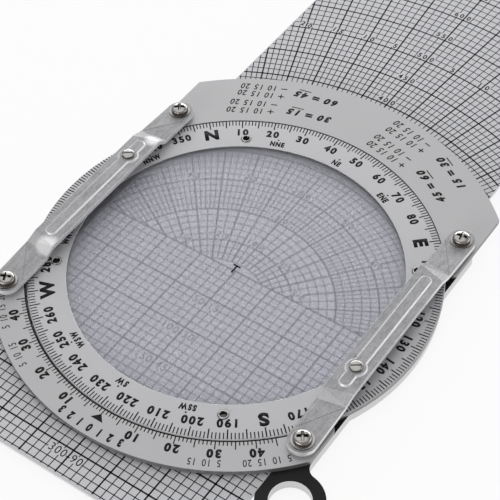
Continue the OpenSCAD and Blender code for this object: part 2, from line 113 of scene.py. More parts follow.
class Wire:
    """A value in a material: an output socket with the operators of shader maths."""

    def __init__(self, graph: "Graph", socket: bpy.types.NodeSocket) -> None:
        """Keeps the socket and the graph that its Math nodes go into."""
        self.graph = graph
        self.socket = socket

    def _math(self, operation: str, first: Any, second: Any = 0.0) -> "Wire":
        """Adds one Math node on two values, each a Wire or a number."""
        return self.graph.add("ShaderNodeMath", {"operation": operation}, {0: first, 1: second})

    def __add__(self, other: Any) -> "Wire":
        """Self + other."""
        return self._math("ADD", self, other)

    def __radd__(self, other: Any) -> "Wire":
        """Other + self."""
        return self._math("ADD", other, self)

    def __sub__(self, other: Any) -> "Wire":
        """Self - other."""
        return self._math("SUBTRACT", self, other)

    def __rsub__(self, other: Any) -> "Wire":
        """Other - self."""
        return self._math("SUBTRACT", other, self)

    def __mul__(self, other: Any) -> "Wire":
        """Self * other."""
        return self._math("MULTIPLY", self, other)

    def __rmul__(self, other: Any) -> "Wire":
        """Other * self."""
        return self._math("MULTIPLY", other, self)

    def __gt__(self, other: Any) -> "Wire":
        """1 where self is more than other, else 0."""
        return self._math("GREATER_THAN", self, other)

    def __lt__(self, other: Any) -> "Wire":
        """1 where self is less than other, else 0."""
        return self._math("LESS_THAN", self, other)

    def __abs__(self) -> "Wire":
        """Self without its sign."""
        return self._math("ABSOLUTE", self)


class Graph:
    """The node tree of one material, with a Principled shader at its end."""

    def __init__(self, name: str) -> None:
        """Starts an empty material.

        Args:
            name: the material's name.
        """
        self.material = bpy.data.materials.new(name)
        self.material.use_nodes = True
        self.tree = self.material.node_tree
        self.tree.nodes.clear()
        self.shader = self.tree.nodes.new("ShaderNodeBsdfPrincipled")
        self.output = self.tree.nodes.new("ShaderNodeOutputMaterial")
        self.tree.links.new(self.shader.outputs[0], self.output.inputs["Surface"])

    def add(self, kind: str, settings: dict[str, Any], sockets: dict[Any, Any], out: Any = 0) -> Wire:
        """Adds one node.

        Args:
            kind: the node's type.
            settings: its own settings, set first.
            sockets: values, or Wires to link, by a socket's name or number.
            out: name or number of the output that is wanted.

        Returns:
            That output.
        """
        node = self.tree.nodes.new(kind)
        for name, value in settings.items():
            setattr(node, name, value)
        for name, value in sockets.items():
            self.feed(node.inputs[name], value)
        return Wire(self, node.outputs[out])

    def feed(self, socket: bpy.types.NodeSocket, value: Any) -> None:
        """Links a Wire to a socket, or sets the socket's own value.

        Args:
            socket: the input socket.
            value: a Wire, a number, or a colour or vector of three numbers.
        """
        if isinstance(value, Wire):
            self.tree.links.new(value.socket, socket)
        elif isinstance(value, (int, float)):
            socket.default_value = value
        else:
            size = len(socket.default_value)
            socket.default_value = (*value, 1.0) if size == 4 else tuple(value)

    def finish(self, **values: Any) -> bpy.types.Material:
        """Feeds the shader's sockets.

        Args:
            values: value or Wire by the socket's name, with underscores for its spaces.

        Returns:
            The finished material.
        """
        for name, value in values.items():
            self.feed(self.shader.inputs[name.replace("_", " ").title().replace("Ior", "IOR")], value)
        return self.material

    def millimetres(self, stretch: Triple = (1.0, 1.0, 1.0)) -> Wire:
        """Object coordinates in millimetres.

        Args:
            stretch: scale of each axis, for a pattern drawn out along one of them.

        Returns:
            The coordinates as a vector.
        """
        place = self.add("ShaderNodeTexCoord", {}, {}, out="Object")
        scale = tuple(part / MM for part in stretch)
        return self.add("ShaderNodeVectorMath", {"operation": "MULTIPLY"}, {0: place, 1: scale})

    def noise(self, where: Wire, scale: float, detail: float = 3.0, roughness: float = 0.6) -> Wire:
        """Noise between 0 and 1, with its cells to the millimetre, its octaves and their strength."""
        sockets = {"Vector": where, "Scale": scale, "Detail": detail, "Roughness": roughness}
        return self.add("ShaderNodeTexNoise", {}, sockets)

    def blend(self, factor: Any, first: Any, second: Any) -> Wire:
        """Mixes two colours: a factor of 0 gives the first, and 1 the second."""
        sockets = {"Factor": factor, 6: first, 7: second}
        return self.add("ShaderNodeMix", {"data_type": "RGBA"}, sockets, out=2)

    def bump(self, height: Wire, depth: float) -> Wire:
        """Normal of a bump, from a height between 0 and 1 and its full depth in millimetres."""
        return self.add("ShaderNodeBump", {}, {"Height": height, "Distance": depth * MM})

    def facing(self, axis: str) -> Wire:
        """How far the surface faces along X, Y or Z, from -1 to 1."""
        normal = self.add("ShaderNodeNewGeometry", {}, {}, out="Normal")
        return self.add("ShaderNodeSeparateXYZ", {}, {0: normal}, out=axis)

    def upright(self) -> Wire:
        """How far the surface faces up or down: 1 on a flat face, 0 on a cut edge."""
        return abs(self.facing("Z"))

    def clamp(self, value: Any, strength: float = 1.0) -> Wire:
        """A value times a strength, kept between 0 and 1."""
        settings = {"operation": "MULTIPLY", "use_clamp": True}
        return self.add("ShaderNodeMath", settings, {0: value, 1: strength})

    def near(self, where: Wire, point: Triple, radius: float) -> Wire:
        """1 at a point, falling to 0 at a radius from it, all in millimetres."""
        away = self.add("ShaderNodeVectorMath", {"operation": "DISTANCE"}, {0: where, 1: point}, out="Value")
        return self.clamp(1 - away * (1.0 / radius))

    def slope(self, strength: float, start: float = 0.0) -> Wire:
        """0 on a flat face, rising with its lean past a start and by a strength, up to 1."""
        return self.clamp((1 - start) - self.upright(), strength)

    def ray(self, kind: str) -> Wire:
        """1 for rays of a kind, such as Is Shadow Ray, else 0."""
        return self.add("ShaderNodeLightPath", {}, {}, out=kind)

    def mix_surface(self, factor: Wire, other: Wire) -> bpy.types.Material:
        """Mixes the Principled shader with another one at the material's end.

        Args:
            factor: 0 for the Principled shader, 1 for the other.
            other: the other shader.

        Returns:
            The finished material.
        """
        own = Wire(self, self.shader.outputs[0])
        mixed = self.add("ShaderNodeMixShader", {}, {0: factor, 1: own, 2: other})
        self.feed(self.output.inputs["Surface"], mixed)
        return self.material


def shade(colour: Triple, factor: float) -> Triple:
    """A colour made lighter or darker by a factor, its parts kept below 1."""
    return tuple(min(part * factor, 1.0) for part in colour)


@dataclass(frozen=True)
class SheetFinish:
    """Anodised sheet: a coloured satin face with a fine grain, a barer broken edge and a sawn side, whose
    dark colour on the plates and ring is painted shade.
    """

    name: str
    face: Triple
    edge: Triple
    side: Triple
    face_roughness: float = 0.5
    edge_roughness: float = 0.36
    face_metallic: float = 0.25
    edge_metallic: float = 0.7
    grain: float = 0.05
    gloss: float = 0.5

    def build(self) -> bpy.types.Material:
        """Makes the material."""
        graph = Graph(self.name)
        place = graph.millimetres()
        grain = graph.noise(place, 5.0, 4.0, 0.7)
        cloud = graph.noise(place, 0.06, 2.0)
        handling = graph.noise(graph.millimetres((0.5, 0.03, 0.5)), 1.0, 5.0, 0.7)
        tone = 0.55 * grain + 0.45 * cloud
        face = graph.blend(tone, shade(self.face, 1 - self.grain), shade(self.face, 1 + self.grain))
        saw = graph.noise(graph.millimetres((1.0, 1.0, 9.0)), 0.8, 4.0, 0.7)
        upright = graph.upright()
        # Steep faces take the side colour, which on the plates and ring is painted shade
        cut = graph.blend(upright > BROKEN_EDGE, self.side, self.edge)
        edge = graph.blend(saw, shade(self.side, 0.8), cut)
        flat = upright > FLAT_FACE
        roughness = self.face_roughness + 0.1 * (handling - 0.5) + 0.05 * (grain - 0.5)
        rough_edge = self.edge_roughness + 0.16 * (saw - 0.5)
        return graph.finish(
            base_color=graph.blend(flat, edge, face),
            roughness=flat * roughness + (1 - flat) * rough_edge,
            metallic=flat * self.face_metallic + (1 - flat) * self.edge_metallic,
            normal=graph.bump(flat * grain + (1 - flat) * saw, 0.006),
            specular_ior_level=self.gloss,
        )


@dataclass(frozen=True)
class FrostedFinish:
    """Frosted clear plastic: a thin milky veil that softens what lies under it."""

    name: str
    tint: Triple
    through: float
    haze: float
    shadow: float
    ior: float = 1.34
    gloss: float = 0.2

    def build(self) -> bpy.types.Material:
        """Makes the material."""
        graph = Graph(self.name)
        cloud = graph.noise(graph.millimetres(), 0.07, 2.0)
        graph.finish(
            base_color=graph.blend(cloud, shade(self.tint, 0.98), shade(self.tint, 1.02)),
            roughness=self.haze,
            transmission_weight=self.through,
            ior=self.ior,
            specular_ior_level=self.gloss,
        )
        clear = graph.add("ShaderNodeBsdfTransparent", {}, {"Color": (self.shadow,) * 3})
        return graph.mix_surface(graph.ray("Is Shadow Ray"), clear)


@dataclass(frozen=True)
class PressedFinish:
    """Bare rolled sheet after pressing: rolling lines along its length, and a lighter colour on sloping
    faces, the bead's flanks, faces towards the front and patches on the left arm's steps, which is painted
    highlight, partly rubbed wear.
    """

    name: str
    metal: Triple
    # The lighter colour of painted highlight and rubbed wear
    rubbed: Triple
    scuffs: tuple[tuple[Triple, float], ...] = ()
    bead_reach: float = 24.4
    roughness: float = 0.46
    metallic: float = 0.55
    contrast: float = 4.6
    tones: Pair = (0.62, 1.38)

    def build(self) -> bpy.types.Material:
        """Makes the material."""
        graph = Graph(self.name)
        place = graph.millimetres()
        rolling = graph.noise(graph.millimetres((2.5, 0.25, 2.0)), 1.0, 5.0, 0.75)
        patches = graph.noise(place, 0.3, 4.0, 0.6)
        pits = graph.noise(place, 1.9, 4.0, 0.75)
        streaks = graph.noise(graph.millimetres((1.6, 0.06, 1.0)), 1.0, 4.0, 0.7)
        mottle = 0.25 * rolling + 0.2 * patches + 0.35 * pits + 0.2 * streaks
        tone = graph.clamp(0.5 + self.contrast * (mottle - 0.5))
        flat = graph.blend(tone, *(shade(self.metal, share) for share in self.tones))
        along = abs(graph.add("ShaderNodeSeparateXYZ", {}, {0: place}, out="Y"))
        # Faces that look towards -Y, the front, are painted lighter: painted light
        painted_front_light = graph.clamp(graph.facing("Y"), -0.9)
        # Sloping faces and the bead's flanks are painted lighter: painted highlight, partly rubbed wear
        wear_and_highlight = graph.slope(4.5, 0.2) + painted_front_light + (along < self.bead_reach) * graph.slope(8.0)
        # Mottled patches on the left arm's steps are painted lighter as highlight
        for point, radius in self.scuffs:
            wear_and_highlight = wear_and_highlight + graph.clamp(graph.near(place, point, radius) * (pits + patches), 1.8)
        return graph.finish(
            base_color=graph.blend(graph.clamp(wear_and_highlight), flat, self.rubbed),
            roughness=self.roughness + 0.25 * (patches - 0.5) + 0.2 * (pits - 0.5),
            metallic=self.metallic,
            normal=graph.bump(0.5 * rolling + 0.5 * pits, 0.014),
        )


@dataclass(frozen=True)
class TurnedFinish:
    """Turned or plated small metal parts, with faint tool marks and another colour on sloping faces: painted
    shade where it is darker, as in the screws' recesses and round their rims, and painted light where it is
    lighter.
    """

    name: str
    metal: Triple
    tarnish: Triple
    roughness: float
    marks: float = 0.004

    def build(self) -> bpy.types.Material:
        """Makes the material."""
        graph = Graph(self.name)
        marks = graph.noise(graph.millimetres((1.0, 1.0, 8.0)), 2.0, 4.0, 0.7)
        stain = graph.noise(graph.millimetres(), 0.7, 3.0)
        metal = graph.blend(stain, shade(self.metal, 0.8), shade(self.metal, 1.15))
        return graph.finish(
            # Sloping faces take the second colour: painted shade in recesses and round rims
            base_color=graph.blend(graph.slope(1.3), metal, self.tarnish),
            roughness=self.roughness + 0.14 * (stain - 0.5) + 0.06 * (marks - 0.5),
            metallic=1.0,
            normal=graph.bump(marks, self.marks),
        )


@dataclass(frozen=True)
class InkFinish:
    """Baked printing ink, near black, with a slightly uneven gloss."""

    name: str
    colour: Triple
    roughness: float = 0.55
    gloss: float = 0.18

    def build(self) -> bpy.types.Material:
        """Makes the material."""
        graph = Graph(self.name)
        pores = graph.noise(graph.millimetres(), 6.0, 3.0, 0.7)
        return graph.finish(
            base_color=graph.blend(pores, self.colour, shade(self.colour, 1.5)),
            roughness=self.roughness + 0.2 * (pores - 0.5),
            normal=graph.bump(pores, 0.003),
            specular_ior_level=self.gloss,
        )


@dataclass(frozen=True)
class FibreFinish:
    """Pressed fibre board: brown, dull, with short strands."""

    name: str
    colour: Triple
    roughness: float = 0.8

    def build(self) -> bpy.types.Material:
        """Makes the material."""
        graph = Graph(self.name)
        strands = graph.noise(graph.millimetres((0.6, 3.0, 3.0)), 1.0, 5.0, 0.75)
        return graph.finish(
            base_color=graph.blend(strands, shade(self.colour, 0.6), shade(self.colour, 1.3)),
            roughness=self.roughness + 0.15 * (strands - 0.5),
            normal=graph.bump(strands, 0.02),
        )


class Palette:
    """Every finish of the flight computer, made once."""

    # Painted highlights on the left arm's steps, mottled: the middle and radius of each
    scuffs: tuple[tuple[Triple, float], ...] = (((-50.6, -27.8, 10.5), 4.2), ((-50.4, 26.0, 10.5), 3.6))

    def __init__(self) -> None:
        """Builds the materials."""
        bare = (0.9, 0.9, 0.91)
        # The plates' and ring's sawn sides are painted dark grey: painted shade on the sides
        painted_shade_side = (0.28, 0.28, 0.29)
        self.plate = SheetFinish("satin_plate", (0.495, 0.495, 0.505), bare, painted_shade_side, edge_metallic=0.6).build()
        self.ring = SheetFinish("satin_ring", (0.54, 0.54, 0.56), bare, painted_shade_side, edge_metallic=0.6).build()
        self.slide = SheetFinish("satin_slide", (0.6, 0.6, 0.625), bare, bare, face_metallic=0.1).build()
        self.black = SheetFinish(
            "black_sheet", (0.009, 0.009, 0.0095), (0.8, 0.8, 0.8), (0.7, 0.7, 0.7), face_roughness=0.46,
            edge_roughness=0.3, face_metallic=0.0, edge_metallic=0.85, grain=0.3, gloss=0.2,
        ).build()
        self.window = FrostedFinish(
            "frosted_plastic", (0.742, 0.749, 0.801), through=0.84, haze=0.276, shadow=0.92
        ).build()
        self.arm = PressedFinish("pressed_sheet", (0.35, 0.35, 0.36), (0.84, 0.84, 0.85), self.scuffs).build()
        # Each turned finish's second colour is painted on its sloping faces: dark brown painted shade on the
        # bright parts
        self.bright = TurnedFinish(
            "bright_plating", (0.5, 0.49, 0.48), (0.17, 0.14, 0.12), roughness=0.26
        ).build()
        self.steel = TurnedFinish(
            "dull_steel", (0.52, 0.52, 0.53), (0.6, 0.6, 0.6), roughness=0.34, marks=0.01
        ).build()
        self.spring = TurnedFinish(
            "blue_spring_steel", (0.38, 0.38, 0.41), (0.3, 0.3, 0.33), roughness=0.28, marks=0.006
        ).build()
        self.fibre = FibreFinish("brown_fibre", (0.36, 0.17, 0.08)).build()
        self.ink = InkFinish("printing_ink", (0.0045, 0.0045, 0.005)).build()
        self.white_ink = InkFinish("white_printing_ink", (0.55, 0.55, 0.54)).build()


@dataclass(frozen=True)
class Type:
    """How characters are set: sizes in millimetres, or as a share of the height where it says so."""

    height: float
    aspect: float = 0.64
    weight: float = 0.03
    slant: float = 0.0
    gap: float = 0.12

    @property
    def pitch(self) -> float:
        """Distance between the middles of two figures."""
        return self.height * (self.aspect + self.gap)


@dataclass(frozen=True)
class Label:
    """Characters that are printed on a cleared patch."""

    words: str
    at: Pair
    style: Type
    pad: float

    def patch(self) -> tuple[Pair, Pair]:
        """Lowest and highest corner of the cleared patch."""
        x = len(self.words) * self.style.pitch / 2 + self.pad
        y = self.style.height / 2 + self.pad
        return (self.at[0] - x, self.at[1] - y), (self.at[0] + x, self.at[1] + y)


class Lettering:
    """Outlines of single characters, made once each from the built-in typeface."""

    def __init__(self) -> None:
        """Starts with no outlines."""
        self.outlines: dict[tuple[str, float, float], bpy.types.Mesh] = {}
        self.extents: dict[tuple[str, float, float], tuple[Vector, Vector]] = {}

    def outline(self, character: str, weight: float, slant: float) -> bpy.types.Mesh:
        """A character's flat outline on its baseline.

        Args:
            character: the character.
            weight: how far the outline is grown.
            slant: lean to the right.

        Returns:
            A mesh, kept for the next call.
        """
        key = (character, weight, slant)
        if key not in self.outlines:
            curve = bpy.data.curves.new("character", "FONT")
            curve.body = character
            curve.offset = weight
            curve.shear = slant
            curve.resolution_u = 4
            holder = bpy.data.objects.new("character", curve)
            bpy.context.collection.objects.link(holder)
            evaluated = holder.evaluated_get(bpy.context.evaluated_depsgraph_get())
            self.outlines[key] = bpy.data.meshes.new_from_object(evaluated)
            bpy.data.objects.remove(holder)
            bpy.data.curves.remove(curve)
        return self.outlines[key]

    def extent(self, character: str, style: Type) -> tuple[Vector, Vector]:
        """Lowest and highest corner of a character's outline.

        Args:
            character: the character.
            style: its type.

        Returns:
            The two corners.
        """
        key = (character, style.weight, style.slant)
        if key not in self.extents:
            points = [vertex.co for vertex in self.outline(*key).vertices]
            low = Vector(min(point[axis] for point in points) for axis in range(3))
            high = Vector(max(point[axis] for point in points) for axis in range(3))
            self.extents[key] = (low, high)
        return self.extents[key]

    def close(self) -> None:
        """Removes the outlines."""
        for mesh in self.outlines.values():
            bpy.data.meshes.remove(mesh)
        self.outlines.clear()


LETTERING = Lettering()


def turned(degrees: float, axis: str = "Z") -> Matrix:
    """A turn about the X, Y or Z axis as a matrix."""
    return Matrix.Rotation(math.radians(degrees), 4, axis)


def moved(x: float, y: float, z: float = 0.0) -> Matrix:
    """A move in millimetres as a matrix."""
    return Matrix.Translation((x, y, z))


def polar(radius: float, degrees: float, centre: Pair = (0.0, 0.0)) -> Pair:
    """A point on a circle, at an angle in degrees from +X towards +Y."""
    angle = math.radians(degrees)
    return (centre[0] + radius * math.cos(angle), centre[1] + radius * math.sin(angle))


def heading_direction(heading: float) -> float:
    """Direction of a heading on the azimuth disc, in degrees from +X towards +Y."""
    return INDEX_DIRECTION + INDEX_HEADING - heading


class Form:
    """A piece being modelled in millimetres with mesh operators."""

    def __init__(self) -> None:
        """Starts an empty mesh."""
        self.bm = bmesh.new()

    def revolve(self, profile: Sequence[Pair], steps: int) -> None:
        """Spins a closed or axis-to-axis profile round Z, in a form that is still empty.

        Args:
            profile: radius and height of each point.
            steps: facets round the turn.
        """
        verts = [self.bm.verts.new((radius, 0.0, height)) for radius, height in profile]
        edges = [self.bm.edges.new(pair) for pair in zip(verts, verts[1:])]
        if profile[0][0] > 0:
            edges.append(self.bm.edges.new((verts[-1], verts[0])))
        bmesh.ops.spin(
            self.bm, geom=verts + edges, cent=(0, 0, 0), axis=(0, 0, 1), dvec=(0, 0, 0),
            angle=math.tau, steps=steps, use_merge=True, use_normal_flip=False, use_duplicate=False,
        )
        bmesh.ops.remove_doubles(self.bm, verts=self.bm.verts[:], dist=1e-5)
        bmesh.ops.recalc_face_normals(self.bm, faces=self.bm.faces[:])

    def take(self, node: str, whole: bool = False) -> None:
        """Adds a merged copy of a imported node.

        Args:
            node: the node's name.
            whole: True to make its flat faces whole, for a solid whose faces have no holes.
        """
        self.bm.from_mesh(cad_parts[node].data)
        bmesh.ops.scale(self.bm, verts=self.bm.verts, vec=(1 / MM,) * 3)
        bmesh.ops.remove_doubles(self.bm, verts=self.bm.verts, dist=1e-3)
        if whole:
            bmesh.ops.dissolve_limit(
                self.bm, angle_limit=math.radians(0.5), use_dissolve_boundaries=False,
                verts=self.bm.verts[:], edges=self.bm.edges[:],
            )

    def block(self, size: Triple, place: Matrix = Matrix(), taper: float = 1.0) -> None:
        """A block, which may narrow towards its lower face.

        Args:
            size: its lengths along x, y and z.
            place: where its middle goes.
            taper: size of the lower face as a share of the upper.
        """
        made = bmesh.ops.create_cube(self.bm, size=1.0, matrix=Matrix.Diagonal((*size, 1.0)))
        lower = [vert for vert in made["verts"] if vert.co.z < 0]
        bmesh.ops.scale(self.bm, verts=lower, vec=(taper, taper, 1.0))
        bmesh.ops.transform(self.bm, matrix=place, verts=made["verts"])

    def copies(self, places: Sequence[Matrix]) -> None:
        """Puts copies of the whole form at the places, and removes the first one.

        Args:
            places: one matrix for each copy.
        """
        first = self.bm.verts[:] + self.bm.edges[:] + self.bm.faces[:]
        for place in places:
            made = bmesh.ops.duplicate(self.bm, geom=first)
            verts = [item for item in made["geom"] if isinstance(item, bmesh.types.BMVert)]
            bmesh.ops.transform(self.bm, matrix=place, verts=verts)
        verts = [item for item in first if isinstance(item, bmesh.types.BMVert)]
        bmesh.ops.delete(self.bm, geom=verts, context="VERTS")

    def carve(self, tool: "Form") -> None:
        """Cuts another form out of this one.

        Args:
            tool: the cutting form, which is used up.
        """
        body = self.mesh_object("carved", scale=1.0)
        cutter = tool.mesh_object("cutter", scale=1.0)
        cut = body.modifiers.new("cut", "BOOLEAN")
        cut.operation = "DIFFERENCE"
        cut.solver = "EXACT"
        cut.object = cutter
        evaluated = body.evaluated_get(bpy.context.evaluated_depsgraph_get())
        result = bpy.data.meshes.new_from_object(evaluated)
        self.bm = bmesh.new()
        self.bm.from_mesh(result)
        for holder in (body, cutter):
            mesh = holder.data
            bpy.data.objects.remove(holder)
            bpy.data.meshes.remove(mesh)
        bpy.data.meshes.remove(result)

    def mesh_object(self, name: str, scale: float = MM) -> bpy.types.Object:
        """Ends the form as a mesh object.

        Args:
            name: the object's name.
            scale: metres to the form's unit.

        Returns:
            The object, at the origin.
        """
        bmesh.ops.scale(self.bm, verts=self.bm.verts, vec=(scale,) * 3)
        mesh = bpy.data.meshes.new(name)
        self.bm.to_mesh(mesh)
        self.bm.free()
        holder = bpy.data.objects.new(name, mesh)
        bpy.context.collection.objects.link(holder)
        return holder

    def smooth(self, degrees: float) -> None:
        """Shades the form smooth but for edges sharper than an angle.

        Args:
            degrees: the angle.
        """
        limit = math.radians(degrees)
        for face in self.bm.faces:
            face.smooth = True
        for edge in self.bm.edges:
            edge.smooth = len(edge.link_faces) == 2 and edge.calc_face_angle(0.0) < limit

    def soften(self, width: float, segments: int, degrees: float, level: float | None = None) -> None:
        """Bevels every edge sharper than an angle.

        Args:
            width: the bevel's width.
            segments: its segments.
            degrees: the angle.
            level: height of the edges that are meant, if not all are.
        """
        limit = math.radians(degrees)
        sharp = [e for e in self.bm.edges if len(e.link_faces) == 2 and e.calc_face_angle(0.0) > limit]
        if level is not None:
            sharp = [e for e in sharp if all(abs(vert.co.z - level) < 0.01 for vert in e.verts)]
        bmesh.ops.bevel(
            self.bm, geom=sharp, offset=width, offset_type="OFFSET", affect="EDGES", segments=segments,
            profile=0.5, material=-1, clamp_overlap=True,
        )


def sheet_piece(form: Form, name: str, edge: float, level: float) -> bpy.types.Object:
    """Ends a form as a sheet whose edges at one face are broken.

    Args:
        form: the sheet with sharp edges.
        name: the piece's name.
        edge: width of the broken edges.
        level: height of the face.

    Returns:
        The piece.
    """
    form.soften(edge, 2, BEVEL_ANGLE, level)
    form.smooth(SHADE_ANGLE)
    piece = form.mesh_object(name)
    even_normals(piece)
    return piece


def even_normals(piece: bpy.types.Object) -> None:
    """Weights a piece's normals by face area, so that wide faces shade flat beside soft edges.

    Args:
        piece: the piece.
    """
    weighting = piece.modifiers.new("even", "WEIGHTED_NORMAL")
    weighting.keep_sharp = True
    evaluated = piece.evaluated_get(bpy.context.evaluated_depsgraph_get())
    mesh = bpy.data.meshes.new_from_object(evaluated)
    piece.modifiers.clear()
    old = piece.data
    name = old.name
    piece.data = mesh
    bpy.data.meshes.remove(old)
    mesh.name = name


class Artwork(Form):
    """Flat printing in the plane of a face, drawn as seen from that face's own side."""

    def line(self, start: Pair, end: Pair, width: float) -> None:
        """A straight line.

        Args:
            start: one end.
            end: the other end.
            width: its width.
        """
        along = Vector(end) - Vector(start)
        middle = (Vector(start) + Vector(end)) / 2
        turn = turned(math.degrees(math.atan2(along.y, along.x)))
        stretch = Matrix.Diagonal((along.length, width, 1.0, 1.0))
        bmesh.ops.create_grid(
            self.bm, x_segments=1, y_segments=1, size=0.5, matrix=moved(*middle) @ turn @ stretch
        )

    def ray(
        self, inner: float, outer: float, degrees: float, width: float, centre: Pair = (0.0, 0.0)
    ) -> None:
        """A line in a direction, between two distances from a centre."""
        self.line(polar(inner, degrees, centre), polar(outer, degrees, centre), width)

    def ticks(self, inner: float, outer: float, width: float, first: float, step: float, count: int) -> None:
        """Equal ticks round the origin.

        Args:
            inner: radius of their inner ends.
            outer: radius of their outer ends.
            width: their width.
            first: direction of the first.
            step: angle between two of them.
            count: how many.
        """
        row = Artwork()
        row.ray(inner, outer, first, width)
        bmesh.ops.spin(
            row.bm, geom=row.bm.verts[:] + row.bm.edges[:] + row.bm.faces[:], cent=(0, 0, 0),
            axis=(0, 0, 1), dvec=(0, 0, 0), angle=math.radians(step * (count - 1)), steps=count - 1,
            use_duplicate=True, use_merge=False, use_normal_flip=False,
        )
        self.join(row)

    def arc(self, radius: float, first: float, last: float, width: float, centre: Pair = (0.0, 0.0)) -> None:
        """A round line.

        Args:
            radius: its middle radius.
            first: direction of its start.
            last: direction of its end, more than first.
            width: its width.
            centre: its centre.
        """
        whole = last - first >= 360.0
        band = Artwork()
        corners = [polar(radius + side * width / 2, first, centre) for side in (-1, 1)]
        ends = [band.bm.verts.new((*corner, 0.0)) for corner in corners]
        edge = band.bm.edges.new(ends)
        facet = 360.0 / max(LEAST_FACETS, math.tau * math.sqrt(radius / ARC_SAG) / 3.0)
        bmesh.ops.spin(
            band.bm, geom=[*ends, edge], cent=(*centre, 0), axis=(0, 0, 1), dvec=(0, 0, 0),
            angle=math.tau if whole else math.radians(last - first),
            steps=max(3, math.ceil((last - first) / facet)),
            use_merge=whole, use_normal_flip=False, use_duplicate=False,
        )
        self.join(band)

    def dot(self, at: Pair, diameter: float) -> None:
        """A round dot."""
        bmesh.ops.create_circle(self.bm, cap_ends=True, segments=12, radius=diameter / 2, matrix=moved(*at))

    def arrow(self, at: Pair, degrees: float, length: float, width: float) -> None:
        """A solid triangle.

        Args:
            at: its point.
            degrees: the way it points.
            length: from its base to its point.
            width: of its base.
        """
        stretch = Matrix.Diagonal((length / 1.5, width / math.sqrt(3.0), 1.0, 1.0))
        tip = turned(-90.0) @ moved(0.0, -1.0)
        bmesh.ops.create_circle(
            self.bm, cap_ends=True, segments=3, radius=1.0,
            matrix=moved(*at) @ turned(degrees) @ stretch @ tip,
        )

    def text(self, words: str, at: Pair, degrees: float, style: Type) -> None:
        """Characters on a straight line, centred on a point.

        Args:
            words: the characters.
            at: their centre.
            degrees: the way that they read.
            style: their type.
        """
        low, high = LETTERING.extent("0", style)
        across = style.height * style.aspect / (high.x - low.x)
        spans = []
        cursor = 0.0
        for character in words:
            if character == " ":
                cell = style.height * SPACE_WIDTH
            elif character in SIGNS:
                cell = style.height * SIGN_WIDTH
            elif character.isdigit():
                cell = style.height * style.aspect
            else:
                left, right = LETTERING.extent(character, style)
                cell = (right.x - left.x) * across
            spans.append((character, cursor + cell / 2))
            cursor += cell + style.gap * style.height
        middle = (cursor - style.gap * style.height) / 2
        place = moved(*at) @ turned(degrees)
        for character, offset in spans:
            if character != " ":
                self.glyph(character, place @ moved(offset - middle, 0.0), style)

    def glyph(self, character: str, place: Matrix, style: Type) -> None:
        """One character, centred on a place.

        Args:
            character: the character.
            place: its centre and its turn.
            style: its type.
        """
        if character in SIGNS:
            size = style.height * SIGN_WIDTH
            for left, low, right, high in SIGNS[character]:
                start = place @ Vector((left * size, low * size, 0.0))
                end = place @ Vector((right * size, high * size, 0.0))
                self.line(start.to_2d(), end.to_2d(), style.height * (SIGN_STROKE + 2 * style.weight))
            return
        low, high = LETTERING.extent("0", style)
        up = style.height / (high.y - low.y)
        across = style.height * style.aspect / (high.x - low.x)
        left, right = LETTERING.extent(character, style)
        mesh = LETTERING.outline(character, style.weight, style.slant).copy()
        base = moved(-(left.x + right.x) / 2 * across, -style.height / 2 - low.y * up)
        mesh.transform(place @ base @ Matrix.Diagonal((across, up, 1.0, 1.0)))
        self.bm.from_mesh(mesh)
        bpy.data.meshes.remove(mesh)

    def round_text(self, words: str, radius: float, degrees: float, style: Type) -> None:
        """Characters with their tops outwards, set on a circle round the origin.

        Args:
            words: the characters.
            radius: radius of their middles.
            degrees: direction of the middle of the row.
            style: their type.
        """
        pitch = math.degrees(style.pitch / radius)
        for number, character in enumerate(words):
            if character != " ":
                angle = degrees + ((len(words) - 1) / 2 - number) * pitch
                self.text(character, polar(radius, angle), angle - 90.0, style)

    def clear(self, low: Pair, high: Pair) -> None:
        """Takes the printing out of a rectangle.

        Args:
            low: its lowest corner.
            high: its highest corner.
        """
        def near(face: bmesh.types.BMFace) -> bool:
            """True if the face may reach into the rectangle."""
            xs, ys = zip(*(vert.co.xy for vert in face.verts))
            return min(xs) < high[0] and max(xs) > low[0] and min(ys) < high[1] and max(ys) > low[1]

        faces = [face for face in self.bm.faces if near(face)]
        geom = list({item for face in faces for item in (*face.verts, *face.edges)}) + faces
        for place, axis in ((low, (1, 0)), (high, (1, 0)), (low, (0, 1)), (high, (0, 1))):
            cut = bmesh.ops.bisect_plane(
                self.bm, geom=geom, plane_co=(*place, 0), plane_no=(*axis, 0), dist=1e-5
            )
            geom = cut["geom"]
        inside = []
        for face in geom:
            if isinstance(face, bmesh.types.BMFace):
                middle = face.calc_center_median()
                if low[0] < middle.x < high[0] and low[1] < middle.y < high[1]:
                    inside.append(face)
        bmesh.ops.delete(self.bm, geom=inside, context="FACES")

    def labels(self, labels: Sequence[Label]) -> None:
        """Prints labels, after the patches of all of them are cleared.

        Args:
            labels: the labels.
        """
        for label in labels:
            self.clear(*label.patch())
        for label in labels:
            self.text(label.words, label.at, 0.0, label.style)

    def trim(self, low: Pair, high: Pair) -> None:
        """Cuts off all printing outside a rectangle.

        Args:
            low: its lowest corner.
            high: its highest corner.
        """
        for place, normal in ((low, (-1, 0)), (low, (0, -1)), (high, (1, 0)), (high, (0, 1))):
            geom = self.bm.verts[:] + self.bm.edges[:] + self.bm.faces[:]
            bmesh.ops.bisect_plane(
                self.bm, geom=geom, plane_co=(*place, 0), plane_no=(*normal, 0), clear_outer=True, dist=1e-5
            )

    def join(self, other: "Artwork") -> None:
        """Adds another artwork, which is used up.

        Args:
            other: the other artwork.
        """
        mesh = bpy.data.meshes.new("joined")
        other.bm.to_mesh(mesh)
        other.bm.free()
        self.bm.from_mesh(mesh)
        bpy.data.meshes.remove(mesh)

